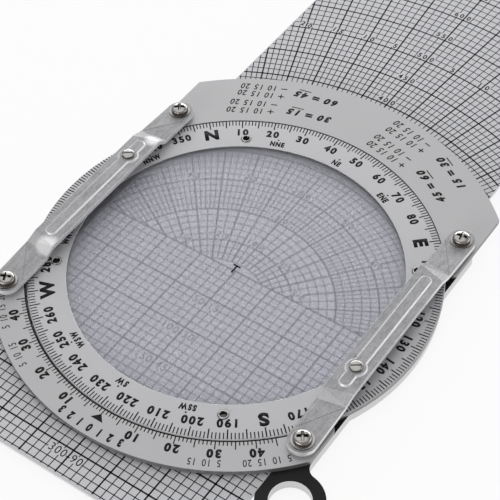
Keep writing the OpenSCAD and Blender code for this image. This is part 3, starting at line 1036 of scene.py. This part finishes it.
    def print_on(self, name: str, level: float, side: Side, ink: bpy.types.Material, body: str) -> None:
        """Ends the artwork as a thin layer on a face.

        Args:
            name: the piece's name.
            level: height of the face.
            side: the way the face looks.
            ink: the ink's material.
            body: the body that the face moves with.
        """
        bmesh.ops.translate(self.bm, verts=self.bm.verts, vec=(0, 0, INK_GAP))
        made = bmesh.ops.extrude_face_region(self.bm, geom=self.bm.faces[:])
        lifted = [item for item in made["geom"] if isinstance(item, bmesh.types.BMVert)]
        bmesh.ops.translate(self.bm, verts=lifted, vec=(0, 0, INK_THICKNESS))
        bmesh.ops.recalc_face_normals(self.bm, faces=self.bm.faces[:])
        flip = turned(180.0, "Y") if side is Side.BACK else Matrix()
        bmesh.ops.transform(self.bm, matrix=moved(0, 0, level) @ flip, verts=self.bm.verts[:])
        place_piece(self.mesh_object(name), ink, body)


def place_piece(
    piece: bpy.types.Object,
    material: bpy.types.Material,
    body: str,
    nodes: Sequence[str] = (),
) -> None:
    """Dresses a new piece and ties it to the model.

    Args:
        piece: the piece.
        material: its material.
        body: the body that it moves with.
        nodes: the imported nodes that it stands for.
    """
    piece.data.materials.clear()
    piece.data.materials.append(material)
    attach(piece, body)
    if nodes:
        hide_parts(*nodes)
    LOG.info("%s: %d faces on %s", piece.name, len(piece.data.polygons), body)


def dress(node: str, material: bpy.types.Material) -> None:
    """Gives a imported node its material.

    Args:
        node: the node's name.
        material: the material.
    """
    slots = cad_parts[node].data.materials
    slots.clear()
    slots.append(material)
    LOG.info("%s: dressed in %s", node, material.name)


def top_of(node: str) -> float:
    """Height of a node's top, in millimetres."""
    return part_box(node)[1].z / MM


def bottom_of(node: str) -> float:
    """Height of a node's underside, in millimetres."""
    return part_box(node)[0].z / MM


@dataclass(frozen=True)
class Zone:
    """A stretch of the polar grid between two speeds, with its own steps between drift lines."""

    inner: int
    outer: int
    fine_step: int
    bold_step: int


@dataclass
class WindSlide:
    """The long sheet with a polar grid above its middle line and a square grid below."""

    palette: Palette
    unit: float = 0.259
    pole: Pair = (0.0, -15.6)
    horizon: float = -0.3
    pitch: float = 2.61
    bold_every: int = 5
    fine: float = 0.285
    bold: float = 0.52
    first_speed: int = 70
    last_speed: int = 710
    side_margin: float = 0.3
    far_margin: float = 2.0
    near_margin: float = 0.8
    zones: tuple[Zone, ...] = (Zone(70, 150, 5, 10), Zone(150, 250, 2, 10), Zone(250, 720, 1, 5))
    figures: Type = Type(2.2, 0.62, 0.025, 0.0, 0.3)
    square_figures: Type = Type(2.6, 0.6, 0.0, 0.0, 0.2)
    above_arc: float = 0.75
    beside_line: float = 0.35
    above_drift: float = 0.6
    beside_drift: float = 0.4
    below_square: float = 0.9
    beside_square: float = 0.7
    pad: float = 0.05
    square_pad: float = 0.02
    drift_rows: dict[int, tuple[int, ...]] = field(
        default_factory=lambda: {100: (25, 50), 200: (20, 40), 500: (5, 10, 15, 20)}
    )

    def polar_grid(self, art: Artwork) -> None:
        """Draws the speed arcs and the drift lines.

        Args:
            art: the artwork that they go into.
        """
        for speed in range(self.first_speed, self.last_speed + 1, 10):
            width = self.bold if speed % 50 == 0 else self.fine
            art.arc(speed * self.unit, 0.0, 180.0, width, self.pole)
        for zone in self.zones:
            for drift in range(0, 91, zone.fine_step):
                width = self.bold if drift % zone.bold_step == 0 else self.fine
                for side in (1, -1) if drift else (1,):
                    direction = 90.0 - side * drift
                    art.ray(zone.inner * self.unit, zone.outer * self.unit, direction, width, self.pole)

    def square_grid(self, art: Artwork, half_width: float, end: float) -> None:
        """Draws the square grid.

        Args:
            art: the artwork that it goes into.
            half_width: half the sheet's width.
            end: where its long lines stop.
        """
        for number in range(-int(half_width / self.pitch), int(half_width / self.pitch) + 1):
            width = self.bold if number % self.bold_every == 0 else self.fine
            art.line((number * self.pitch, self.horizon), (number * self.pitch, end), width)
        rows = int((self.horizon - end) / self.pitch) + 1
        for number in range(rows):
            width = self.bold if number % self.bold_every == 0 else self.fine
            level = self.horizon - number * self.pitch
            art.line((-half_width, level), (half_width, level), width)

    def speed_numbers(self, factor: int) -> list[Label]:
        """The speeds beside the middle line, and the drifts beside their own lines.

        Args:
            factor: what the printed speeds are multiplied by.

        Returns:
            The labels.
        """
        style = self.figures
        labels = []
        for speed in range(100, self.last_speed, 50):
            level = self.pole[1] + speed * self.unit + self.above_arc + style.height / 2
            words = str(speed * factor)
            left = -self.beside_line - style.pitch * len(words[:-1]) / 2
            right = self.beside_line + style.pitch / 2
            labels.append(Label(words[:-1], (left, level), style, self.pad))
            labels.append(Label(words[-1], (right, level), style, self.pad))
        for speed, drifts in self.drift_rows.items():
            for drift in drifts:
                for side in (-1, 1):
                    radius = speed * self.unit + self.above_drift + style.height / 2
                    x, y = polar(radius, 90.0 - side * drift, self.pole)
                    for digit, shift in zip(str(drift), (-1, 1)):
                        place = (x + shift * (self.beside_drift + style.pitch / 2), y)
                        labels.append(Label(digit, place, style, self.pad))
        return labels

    def square_numbers(self, factor: int) -> list[Label]:
        """The square grid's two rows of numbers beside the middle line.

        Args:
            factor: what the left row is multiplied by.

        Returns:
            The labels.
        """
        style = self.square_figures
        labels = []
        for row in range(1, 7):
            line = self.horizon - row * self.pitch * self.bold_every
            level = line - self.below_square - style.height / 2
            for words, side in ((str(50 * row * factor), -1), (str(15 * row), 1)):
                place = (side * (self.beside_square + len(words) * style.pitch / 2), level)
                labels.append(Label(words, place, style, self.square_pad))
        return labels

    def face(self, side: Side, factor: int) -> None:
        """Prints one face of the sheet.

        Args:
            side: the face.
            factor: what the printed speeds are multiplied by.
        """
        low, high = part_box("slide_card")
        half = high.x / MM - self.side_margin
        upper, lower = Artwork(), Artwork()
        self.polar_grid(upper)
        upper.trim((-half, self.horizon), (half, high.y / MM - self.far_margin))
        self.square_grid(lower, half, low.y / MM + self.near_margin)
        upper.labels(self.speed_numbers(factor))
        lower.labels(self.square_numbers(factor))
        upper.join(lower)
        level = high.z if side is Side.FRONT else low.z
        upper.print_on(f"slide_grid_{side.name.lower()}", level / MM, side, self.palette.ink, "slide")

    def build(self) -> None:
        """Prints both faces and dresses the sheet."""
        self.face(Side.FRONT, 1)
        self.face(Side.BACK, 2)
        dress("slide_card", self.palette.slide)


@dataclass
class AzimuthDisc:
    """The turning disc: printed ring, frosted window with its centre mark, and rolled eyelets."""

    palette: Palette
    tick_outer: float = 63.15
    tick_inner: float = 61.1
    long_tick_inner: float = 60.0
    tick_width: float = 0.33
    long_tick_width: float = 0.3795
    number_radius: float = 57.9
    cardinal_radius: float = 57.3
    quarter_radius: float = 53.7
    dot_radius: float = 55.6
    numbers: Type = Type(3.0, 0.62, 0.055, 0.0, 0.14)
    cardinals: Type = Type(4.7, 0.72, 0.055, 0.0, 0.1)
    quarters: Type = Type(2.3, 0.5, 0.06, 0.0, 0.12)
    dot_diameter: float = 0.6
    mark_reach: float = 1.3
    mark_top: float = 0.7
    mark_foot: float = -2.3
    mark_stroke: float = 0.6
    window_radius: float = 51.5
    # Outer radius of the black ring of painted shade under the window's rim
    seal_radius: float = 53.2
    eyelet_heading: float = 11.5
    eyelet_radius: float = 55.0
    eyelet_rim: float = 1.6
    eyelet_bore: float = 1.05
    eyelet_roll: float = 0.28
    eyelet_wall: float = 0.18
    eyelet_seat: float = 0.02
    eyelet_lift: float = 0.01
    edge_round: float = 0.14

    def scale(self) -> None:
        """Prints the ring's ticks, numbers and points of the compass."""
        art = Artwork()
        north = heading_direction(0.0)
        art.ticks(self.tick_inner, self.tick_outer, self.tick_width, north, 1.0, 360)
        art.ticks(self.long_tick_inner, self.tick_outer, self.long_tick_width, north, 5.0, 72)
        for heading in range(0, 360, 10):
            direction = heading_direction(heading)
            if heading % 90:
                art.text(str(heading), polar(self.number_radius, direction), direction - 90.0, self.numbers)
        for number, letter in enumerate("NESW"):
            direction = heading_direction(90.0 * number)
            art.text(letter, polar(self.cardinal_radius, direction), direction - 90.0, self.cardinals)
        names = ("NNE", "NE", "ENE", "", "ESE", "SE", "SSE", "", "SSW", "SW", "WSW", "", "WNW", "NW", "NNW")
        for number, name in enumerate(names):
            if name:
                direction = heading_direction(22.5 * (number + 1))
                art.text(name, polar(self.quarter_radius, direction), direction - 90.0, self.quarters)
                art.dot(polar(self.dot_radius, direction), self.dot_diameter)
        art.print_on("azimuth_scale", top_of("azimuth_ring"), Side.FRONT, self.palette.ink, "azimuth_disc")

    def centre_mark(self) -> None:
        """Prints the mark at the window's centre."""
        art = Artwork()
        art.line((-self.mark_reach, self.mark_top), (self.mark_reach, self.mark_top), self.mark_stroke)
        art.line((0.0, self.mark_top), (0.0, self.mark_foot), self.mark_stroke)
        art.print_on("centre_mark", top_of("azimuth_window"), Side.FRONT, self.palette.ink, "azimuth_disc")

    def seal(self) -> None:
        """Lays a black ring under the window's rim, where the ring covers it: painted shade that darkens the
        window's edge.
        """
        art = Artwork()
        middle = (self.window_radius + self.seal_radius) / 2
        art.arc(middle, 0.0, 360.0, self.seal_radius - self.window_radius)
        art.print_on("window_shade_ring", bottom_of("azimuth_window"), Side.BACK, self.palette.ink, "azimuth_disc")

    def eyelets(self) -> None:
        """Makes the four rolled eyelets that hold the window."""
        form = Form()
        middle = (self.eyelet_rim + self.eyelet_bore) / 2
        half = (self.eyelet_rim - self.eyelet_bore) / 2
        roll = [
            (middle + half * math.cos(math.radians(turn)), self.eyelet_roll * math.sin(math.radians(turn)))
            for turn in range(0, 181, 30)
        ]
        foot = bottom_of("azimuth_window") - top_of("azimuth_ring")
        seat = -self.eyelet_seat
        outside = self.eyelet_bore + self.eyelet_wall
        tube = [(self.eyelet_bore, foot), (outside, foot), (outside, seat), (self.eyelet_rim, seat)]
        form.revolve([*roll, *tube], 32)
        level = top_of("azimuth_ring") + self.eyelet_lift
        places = []
        for number in range(4):
            at = polar(self.eyelet_radius, heading_direction(self.eyelet_heading + 90.0 * number))
            places.append(moved(*at, level))
        form.copies(places)
        form.smooth(40.0)
        piece = form.mesh_object("rolled_eyelets")
        place_piece(piece, self.palette.bright, "azimuth_disc", ("window_eyelets",))

    def ring(self) -> None:
        """Makes the ring from a copy of its solid, with its upper edges broken."""
        form = Form()
        form.take("azimuth_ring")
        piece = sheet_piece(form, "printed_ring", self.edge_round, top_of("azimuth_ring"))
        place_piece(piece, self.palette.ring, "azimuth_disc", ("azimuth_ring",))

    def build(self) -> None:
        """Prints and dresses the disc."""
        self.scale()
        self.centre_mark()
        self.seal()
        self.eyelets()
        self.ring()
        dress("azimuth_window", self.palette.window)


@dataclass
class GuidePlates:
    """The two segment plates round the disc, with the index scale and rows of plain numbers."""

    palette: Palette
    tick_inner: float = 63.95
    tick_outer: float = 65.4
    long_tick_outer: float = 66.7
    tick_width: float = 0.32
    half_scale: int = 45
    # A dark arc at the plate's inner edge, painted as the shade in the gap round the disc: its radius, width
    # and reach
    scale_line: float = 64.02
    line_width: float = 0.4
    line_reach: float = 56.0
    arrow_radius: float = 65.8
    arrow_size: Pair = (2.3, 4.2)
    number_radius: float = 68.1
    row_radius: float = 71.3
    edge_round: float = 0.12
    inner_radius: float = 63.8
    lip_radius: float = 63.56
    numbers: Type = Type(3.0, 0.64, 0.06, 0.0, 0.14)
    bold_row: Type = Type(2.9, 0.5, 0.06, 0.0, 0.1)
    thin_row: Type = Type(2.3, 0.48, 0.005, 0.0, 0.12)
    heads: Type = Type(2.9, 0.72, 0.06, 0.25, 0.16)
    rows: Type = Type(2.6, 0.55, 0.015, 0.2, 0.12)
    underline: Triple = (2.5, 6.6, -2.2)
    underline_width: float = 0.34
    side_rows: tuple[tuple[float, str], ...] = ((28.0, "5 10 15"), (42.0, "5 10 15 20"))
    # Place and turn of each line on the formula plate, and what it says
    head_lines: tuple[tuple[float, float, float, str], ...] = (
        (-20.0, 75.4, 192.0, "60 = 45"), (-17.5, 67.3, 195.0, "30 = 15"),
        (34.8, 70.1, 149.5, "15 = 30"), (32.4, 61.6, 149.5, "45 = 60"),
    )
    row_lines: tuple[tuple[float, float, float, str], ...] = (
        (-37.6, 70.4, 206.0, "- 10 15 20"), (-36.6, 67.0, 204.0, "+ 10 15 20"),
        (-36.2, 62.2, 206.0, "- 10 15 20"), (-35.2, 58.6, 208.0, "+ 10 15 20"),
        (15.5, 78.6, 167.0, "- 10 15 20"), (15.0, 74.9, 169.0, "+ 10 15 20"),
        (13.6, 69.7, 167.0, "- 10 15 20"), (13.2, 65.9, 168.0, "+ 10 15 20"),
    )

    def index_scale(self) -> None:
        """Prints the lower plate: ticks and numbers to each side of the arrow, and a dark arc of painted
        shade along the gap round the disc.
        """
        art = Artwork()
        first = INDEX_DIRECTION - self.half_scale
        count = 2 * self.half_scale + 1
        art.ticks(self.tick_inner, self.tick_outer, self.tick_width, first, 1.0, count)
        art.ticks(self.tick_inner, self.long_tick_outer, self.tick_width, first, 5.0, count // 5 + 1)
        for number in range(10, 50, 10):
            for side in (-1, 1):
                direction = INDEX_DIRECTION + side * number
                art.text(str(number), polar(self.number_radius, direction), direction - 90.0, self.numbers)
        # The dark arc along the inner edge is painted shade of the gap round the disc
        ends = (INDEX_DIRECTION - self.line_reach, INDEX_DIRECTION + self.line_reach)
        art.arc(self.scale_line, *ends, self.line_width)
        art.arrow((0.0, -self.arrow_radius), 90.0, *self.arrow_size)
        art.round_text("3 2 1 0 1 2 3", self.row_radius, INDEX_DIRECTION, self.bold_row)
        level = top_of("index_plate")
        art.print_on("index_scale", level, Side.FRONT, self.palette.ink, "frame")
        thin = Artwork()
        for side in (-1, 1):
            for offset, words in self.side_rows:
                thin.round_text(words, self.row_radius, INDEX_DIRECTION + side * offset, self.thin_row)
        thin.print_on("index_side_rows", level, Side.FRONT, self.palette.ink, "frame")

    def formula_rows(self) -> None:
        """Prints the upper plate: two blocks of plain numbers, read from the far side."""
        art = Artwork()
        start, stop, level = self.underline
        for x, y, turn, words in self.head_lines:
            art.text(words, (x, y), turn, self.heads)
            place = moved(x, y) @ turned(turn)
            ends = [(place @ Vector((along, level, 0.0))).to_2d() for along in (start, stop)]
            art.line(*ends, self.underline_width)
        for x, y, turn, words in self.row_lines:
            art.text(words, (x, y), turn, self.rows)
        art.print_on("formula_rows", top_of("formula_plate"), Side.FRONT, self.palette.ink, "frame")

    def build(self) -> None:
        """Prints and dresses both plates and the black plate under them."""
        self.index_scale()
        self.formula_rows()
        self.plate("index_plate", self.inner_radius)
        self.plate("formula_plate", self.lip_radius)
        dress("base_plate", self.palette.black)

    def plate(self, node: str, inner: float) -> None:
        """Makes a plate from a copy of its solid, with its upper edges broken.

        Args:
            node: the plate's node.
            inner: radius of the edge that stands round the disc.
        """
        form = Form()
        form.take(node)
        for vert in form.bm.verts:
            radius = vert.co.to_2d().length
            if abs(radius - self.inner_radius) < TOUCHING:
                vert.co.xy *= inner / radius
        piece = sheet_piece(form, f"printed_{node}", self.edge_round, top_of(node))
        place_piece(piece, self.palette.plate, "frame", (node,))


@dataclass
class PressedArms:
    """The two pressed arms with their spacers, washers and springs.

    Bends are given in an arm's own measures: x without its sign, and distance along the arm from its middle.
    """

    palette: Palette
    edge_round: float = 0.16
    least_bend: float = 12.0
    stagger: float = 0.7
    bends: tuple[tuple[Pair, Pair], ...] = (
        ((57.2, 28.69), (0.0, 1.0)),
        ((48.4, 30.16), (0.0, 1.1)),
        ((48.4, 24.69), (2.4, 0.0)),
    )
    groove: tuple[Triple, Triple] = ((57.2, 28.69, 10.0), (48.4, 41.86, 9.0))
    groove_section: Pair = (0.32, 0.5)
    groove_stop: float = 0.8

    def ease(self, form: Form, side: float) -> None:
        """Eases the bends at an arm's ends, as pressing leaves them.

        Args:
            form: the arm.
            side: 1 for the right arm, -1 for the left.
        """
        bent = []
        for vert in form.bm.verts:
            along = vert.co.y - side * self.stagger
            for (across, place), (shift, lift) in self.bends:
                if abs(abs(vert.co.x) - across) < TOUCHING and abs(abs(along) - place) < TOUCHING:
                    vert.co.y += math.copysign(shift, along)
                    vert.co.z += lift
                    bent.append(vert)
        faces = list({face for vert in bent for face in vert.link_faces})
        bmesh.ops.triangulate(form.bm, faces=faces)

    def score(self, form: Form, side: float) -> None:
        """Cuts the fine line that the press leaves along each end's slanting crease.

        Args:
            form: the arm.
            side: 1 for the right arm, -1 for the left.
        """
        for end in (-1.0, 1.0):
            start, stop = (
                Vector((side * across, side * self.stagger + end * along, height))
                for across, along, height in self.groove
            )
            run = stop - start
            tool = Form()
            turn = run.to_track_quat("X", "Z").to_matrix().to_4x4()
            size = (run.length - 2 * self.groove_stop, *self.groove_section)
            tool.block(size, Matrix.Translation((start + stop) / 2) @ turn)
            form.carve(tool)

    def arm(self, node: str) -> None:
        """Makes one arm with soft pressed edges from a copy of its solid.

        Args:
            node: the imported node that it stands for.
        """
        form = Form()
        side = 1.0 if node == "right_arm" else -1.0
        form.take(node, whole=True)
        self.ease(form, side)
        form.soften(self.edge_round, 3, self.least_bend)
        self.score(form, side)
        form.smooth(40.0)
        piece = form.mesh_object(f"pressed_{node}")
        even_normals(piece)
        place_piece(piece, self.palette.arm, "frame", (node,))

    def build(self) -> None:
        """Makes the arms and dresses what holds them."""
        for node in ("left_arm", "right_arm"):
            self.arm(node)
        for node in ("arm_spacers", "drag_nuts"):
            dress(node, self.palette.steel)
        dress("arm_washers", self.palette.bright)
        dress("drag_springs", self.palette.spring)


@dataclass
class ScrewSet:
    """Screws of one kind, each a turned head with a recess over its shank."""

    palette: Palette
    name: str
    node: str
    recess: Recess
    radius: float
    height: float
    rim: float
    shank: float
    places: Sequence[Pair]
    turns: Sequence[float]
    # Length and width of a groove as shares of the head's radius, its depth as one of its height, its taper
    groove: tuple[float, float, float, float]
    chamfer: float = 0.12
    dome: float = 0.8

    def head(self) -> Form:
        """Turns one head on its shank, with the underside of the head at z = 0."""
        form = Form()
        total = top_of(self.node) - bottom_of(self.node)
        rise = self.height - self.rim
        profile = [(0.0, self.height)]
        for step in range(1, 10):
            across = math.radians(step * 10)
            profile.append((self.radius * math.sin(across), self.rim + rise * math.cos(across) ** self.dome))
        profile += [(self.radius, self.rim), (self.radius, self.chamfer), (self.radius - self.chamfer, 0.0)]
        profile += [(self.shank, 0.0), (self.shank, self.height - total), (0.0, self.height - total)]
        form.revolve(profile, 40)
        return form

    def drive(self) -> list[Form]:
        """The shapes that cut the recess, one after the other."""
        length, width, depth, taper = self.groove
        size = (self.radius * length, self.radius * width, self.height * depth)
        tools = []
        for turn in self.recess.value:
            tool = Form()
            tool.block(size, moved(0, 0, self.height) @ turned(turn), taper)
            tools.append(tool)
        return tools

    def build(self) -> None:
        """Makes the screws."""
        form = self.head()
        for tool in self.drive():
            form.carve(tool)
        form.smooth(35.0)
        level = top_of(self.node) - self.height
        form.copies([moved(*at, level) @ turned(turn) for at, turn in zip(self.places, self.turns)])
        piece = form.mesh_object(self.name)
        place_piece(piece, self.palette.bright, "frame", (self.node,))


@dataclass
class CalculatorSide:
    """The back: the black plate's fixed number scale and the turning disc with its own."""

    palette: Palette
    outer_ring: float = 57.0
    fixed_line: float = 49.9
    disc_line: float = 48.4
    hour_line: float = 36.5
    hour_row: float = 34.6
    frame_line: float = 27.7
    window_ticks: Pair = (24.4, 25.6)
    window_row: float = 22.9
    thin: float = 0.16
    middling: float = 0.2
    bold: float = 0.22
    numbered_tick: float = 2.0
    plain_tick: float = 1.4
    half_tick: float = 1.1
    part_tick: float = 0.8
    hour_tick: float = 1.7
    short_tick: float = 1.0
    number_gap: float = 0.5
    arrow_point: Pair = (0.0, 48.2)
    arrow_size: Pair = (2.4, 3.0)
    edge_round: float = 0.12
    back_face: float = 1.5
    disc_face: float = 0.03
    windows: tuple[Pair, ...] = ((0.0, 70.0), (150.0, 42.0), (225.0, 28.0))
    # Below each number, the parts into which a unit of the scales is divided
    divisions: tuple[tuple[int, int], ...] = ((15, 10), (30, 5), (60, 2), (100, 1))
    fixed_numbers: Type = Type(2.4, 0.6, 0.02, 0.0, 0.12)
    disc_numbers: Type = Type(2.2, 0.6, 0.02, 0.0, 0.12)
    window_numbers: Type = Type(1.9, 0.58, 0.02, 0.0, 0.12)

    def direction(self, value: float) -> float:
        """Direction of a value on a logarithmic scale that fills the circle."""
        return 90.0 - 360.0 * math.log10(value / 10.0)

    def log_scale(self, line: float, outwards: int, style: Type) -> Artwork:
        """A round logarithmic scale.

        Args:
            line: radius that its ticks start from.
            outwards: 1 if the ticks go outwards, -1 if inwards.
            style: type of its numbers.

        Returns:
            The artwork.
        """
        art = Artwork()
        for number in range(10, 100):
            numbered = number % 5 == 0 or number < 26
            reach = self.numbered_tick if numbered else self.plain_tick
            steps = next(steps for limit, steps in self.divisions if number < limit)
            for part in range(steps):
                length = self.half_tick if part * 2 == steps == 10 else self.part_tick
                inner, outer = sorted((line, line + outwards * (length if part else reach)))
                art.ray(inner, outer, self.direction(number + part / steps), self.thin)
            if numbered:
                radius = line + outwards * (reach + self.number_gap + style.height / 2)
                direction = self.direction(number)
                art.text(str(number), polar(radius, direction), direction - 90.0, style)
        return art

    def fixed_scale(self) -> None:
        """Prints the scales on the black plate's back, round the disc and behind its windows."""
        art = self.log_scale(self.fixed_line, 1, self.fixed_numbers)
        art.arc(self.outer_ring, 0.0, 360.0, self.middling)
        art.ticks(*self.window_ticks, self.thin, 0.0, 2.5, 144)
        for number in range(24):
            direction = 90.0 - 15.0 * number
            place = polar(self.window_row, direction)
            art.text(str(5 * number), place, direction - 90.0, self.window_numbers)
        art.print_on("calculator_outer_scale", self.back_face, Side.BACK, self.palette.white_ink, "frame")

    def disc_scale(self) -> None:
        """Prints the turning disc: its own scale, a scale of hours and the windows' frames."""
        art = self.log_scale(self.disc_line, -1, self.disc_numbers)
        for radius in (self.disc_line, self.hour_line):
            art.arc(radius, 0.0, 360.0, self.middling)
        art.ticks(self.hour_line, self.hour_line + self.short_tick, self.thin, 0.0, 3.0, 120)
        for hour in range(1, 25):
            direction = 90.0 - 15.0 * hour
            art.ray(self.hour_line, self.hour_line + self.hour_tick, direction, self.bold)
            art.text(str(hour), polar(self.hour_row, direction), direction - 90.0, self.disc_numbers)
        for middle, span in self.windows:
            direction = 180.0 - middle
            art.arc(self.frame_line, direction - span / 2, direction + span / 2, self.bold)
            for share in range(5):
                angle = direction + span * (share / 4 - 0.5)
                art.ray(self.frame_line, self.frame_line + self.short_tick, angle, self.bold)
        art.arrow(self.arrow_point, 90.0, *self.arrow_size)
        art.print_on("calculator_disc_scale", self.disc_face, Side.BACK, self.palette.ink, "calculator")

    def disc(self) -> None:
        """Makes the disc from a copy of its solid, its face drawn back by the ink's thickness."""
        form = Form()
        form.take("calculator_disc")
        for vert in form.bm.verts:
            vert.co.z = max(vert.co.z, self.disc_face)
        piece = sheet_piece(form, "printed_calculator_disc", self.edge_round, self.disc_face)
        place_piece(piece, self.palette.ring, "calculator", ("calculator_disc",))

    def build(self) -> None:
        """Prints both scales and dresses the disc, its rivet and washers."""
        self.fixed_scale()
        self.disc_scale()
        self.disc()
        dress("centre_rivet", self.palette.bright)
        dress("fibre_washer", self.palette.fibre)
        for node in ("spring_washer", "slide_spring"):
            dress(node, self.palette.spring)


@dataclass
class Studio:
    """Pale floor, soft lamps and the camera at the photograph's place."""

    camera_place: Triple = (184.0, -244.2, 361.7)
    look: Triple = (-0.3892, 0.5327, -0.7515)
    up: Triple = (-0.4153, 0.6266, 0.6594)
    lens: float = 111.06
    sensor: float = 36.0
    world_level: float = 0.385
    floor_size: float = 3000.0
    floor_level: float = -0.05
    floor_glow: float = 0.9
    # Name, place and size in millimetres, and power in watts of each lamp
    lamps: tuple[tuple[str, Triple, Pair, float], ...] = (
        ("back_softbox", (-750.0, 1850.0, 640.0), (2600.0, 500.0), 21.5),
        ("top_softbox", (-330.0, 180.0, 1000.0), (1200.0, 1600.0), 3.7),
        ("front_softbox", (-120.0, -1100.0, 330.0), (1000.0, 400.0), 4.9),
        ("side_softbox", (1000.0, 650.0, 260.0), (900.0, 450.0), 2.6),
    )

    def camera(self) -> None:
        """Sets the camera."""
        data = bpy.data.cameras.new("camera")
        data.lens = self.lens
        data.sensor_width = self.sensor
        data.clip_start = 0.01
        holder = bpy.data.objects.new("camera", data)
        bpy.context.collection.objects.link(holder)
        back = -Vector(self.look).normalized()
        right = Vector(self.up).cross(back).normalized()
        true_up = back.cross(right)
        turn = Matrix((right, true_up, back)).transposed().to_4x4()
        holder.matrix_world = Matrix.Translation(Vector(self.camera_place) * MM) @ turn
        bpy.context.scene.camera = holder

    def lamp(self, name: str, at: Triple, size: Pair, power: float) -> None:
        """A soft rectangular lamp that looks at the object.

        Args:
            name: its name.
            at: its place, in millimetres.
            size: its width and height, in millimetres.
            power: its power in watts.
        """
        data = bpy.data.lights.new(name, "AREA")
        data.shape = "RECTANGLE"
        data.size = size[0] * MM
        data.size_y = size[1] * MM
        data.energy = power
        holder = bpy.data.objects.new(name, data)
        bpy.context.collection.objects.link(holder)
        place = Vector(at) * MM
        holder.matrix_world = Matrix.Translation(place) @ place.to_track_quat("Z", "Y").to_matrix().to_4x4()

    def floor(self) -> None:
        """Lays a white floor under the object, which keeps its shadow."""
        form = Form()
        place = moved(0.0, 0.0, self.floor_level)
        bmesh.ops.create_grid(form.bm, x_segments=2, y_segments=2, size=self.floor_size / 2, matrix=place)
        graph = Graph("studio_floor")
        graph.finish(base_color=(0.94, 0.94, 0.94), roughness=0.9)
        glow = graph.add("ShaderNodeEmission", {}, {"Color": (1.0, 1.0, 1.0), "Strength": 1.0})
        mirrored = graph.ray("Is Glossy Ray") + graph.ray("Is Transmission Ray")
        rays = {0: graph.ray("Is Camera Ray"), 1: mirrored}
        seen = graph.add("ShaderNodeMath", {"operation": "MAXIMUM"}, rays)
        floor = form.mesh_object("studio_floor")
        floor.data.materials.append(graph.mix_surface(self.floor_glow * seen, glow))

    def world(self) -> None:
        """Lights the scene evenly from all round."""
        world = bpy.data.worlds.new("studio")
        world.use_nodes = True
        background = world.node_tree.nodes["Background"]
        background.inputs["Color"].default_value = (1.0, 1.0, 1.0, 1.0)
        background.inputs["Strength"].default_value = self.world_level
        bpy.context.scene.world = world

    def build(self) -> None:
        """Sets up the studio."""
        self.camera()
        self.floor()
        self.world()
        for lamp in self.lamps:
            self.lamp(*lamp)
        bpy.context.scene.view_settings.view_transform = "Standard"


def screws(palette: Palette, stagger: float) -> list[ScrewSet]:
    """The pan head screws at the arms' ends and the slotted ones in their bosses.

    Args:
        palette: the finishes.
        stagger: how far each arm is shifted along itself.

    Returns:
        The two sets.
    """
    radius = 2.75
    boss_along = 16.4
    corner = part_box("arm_screws")[1]
    right, far = corner.x / MM - radius, corner.y / MM - radius
    near = far - 2 * stagger
    ends = [(right, far), (-right, near), (-right, -far), (right, -near)]
    bosses = [(right, stagger - boss_along), (-right, boss_along - stagger)]
    return [
        ScrewSet(
            palette, "pan_head_screws", "arm_screws", Recess.CROSS, radius, height=1.9, rim=0.7,
            shank=1.2, places=ends, turns=(10.0, 35.0, 25.0, 34.0), groove=(2.1, 0.58, 1.4, 0.3),
        ),
        ScrewSet(
            palette, "slotted_screws", "drag_screws", Recess.SLOT, radius=2.0, height=0.9, rim=0.45,
            shank=0.8, places=bosses, turns=(34.0, 34.0), groove=(3.0, 0.22, 0.9, 1.0),
        ),
    ]


def main() -> None:
    """Builds the flight computer piece by piece."""
    logging.basicConfig(level=logging.INFO, format="%(name)s: %(message)s")
    palette = Palette()
    arms = PressedArms(palette)
    for assembly in (WindSlide(palette), AzimuthDisc(palette), GuidePlates(palette), arms):
        assembly.build()
    for screw_set in screws(palette, arms.stagger):
        screw_set.build()
    CalculatorSide(palette).build()
    Studio().build()
    LETTERING.close()


if __name__ == "__main__":
    main()
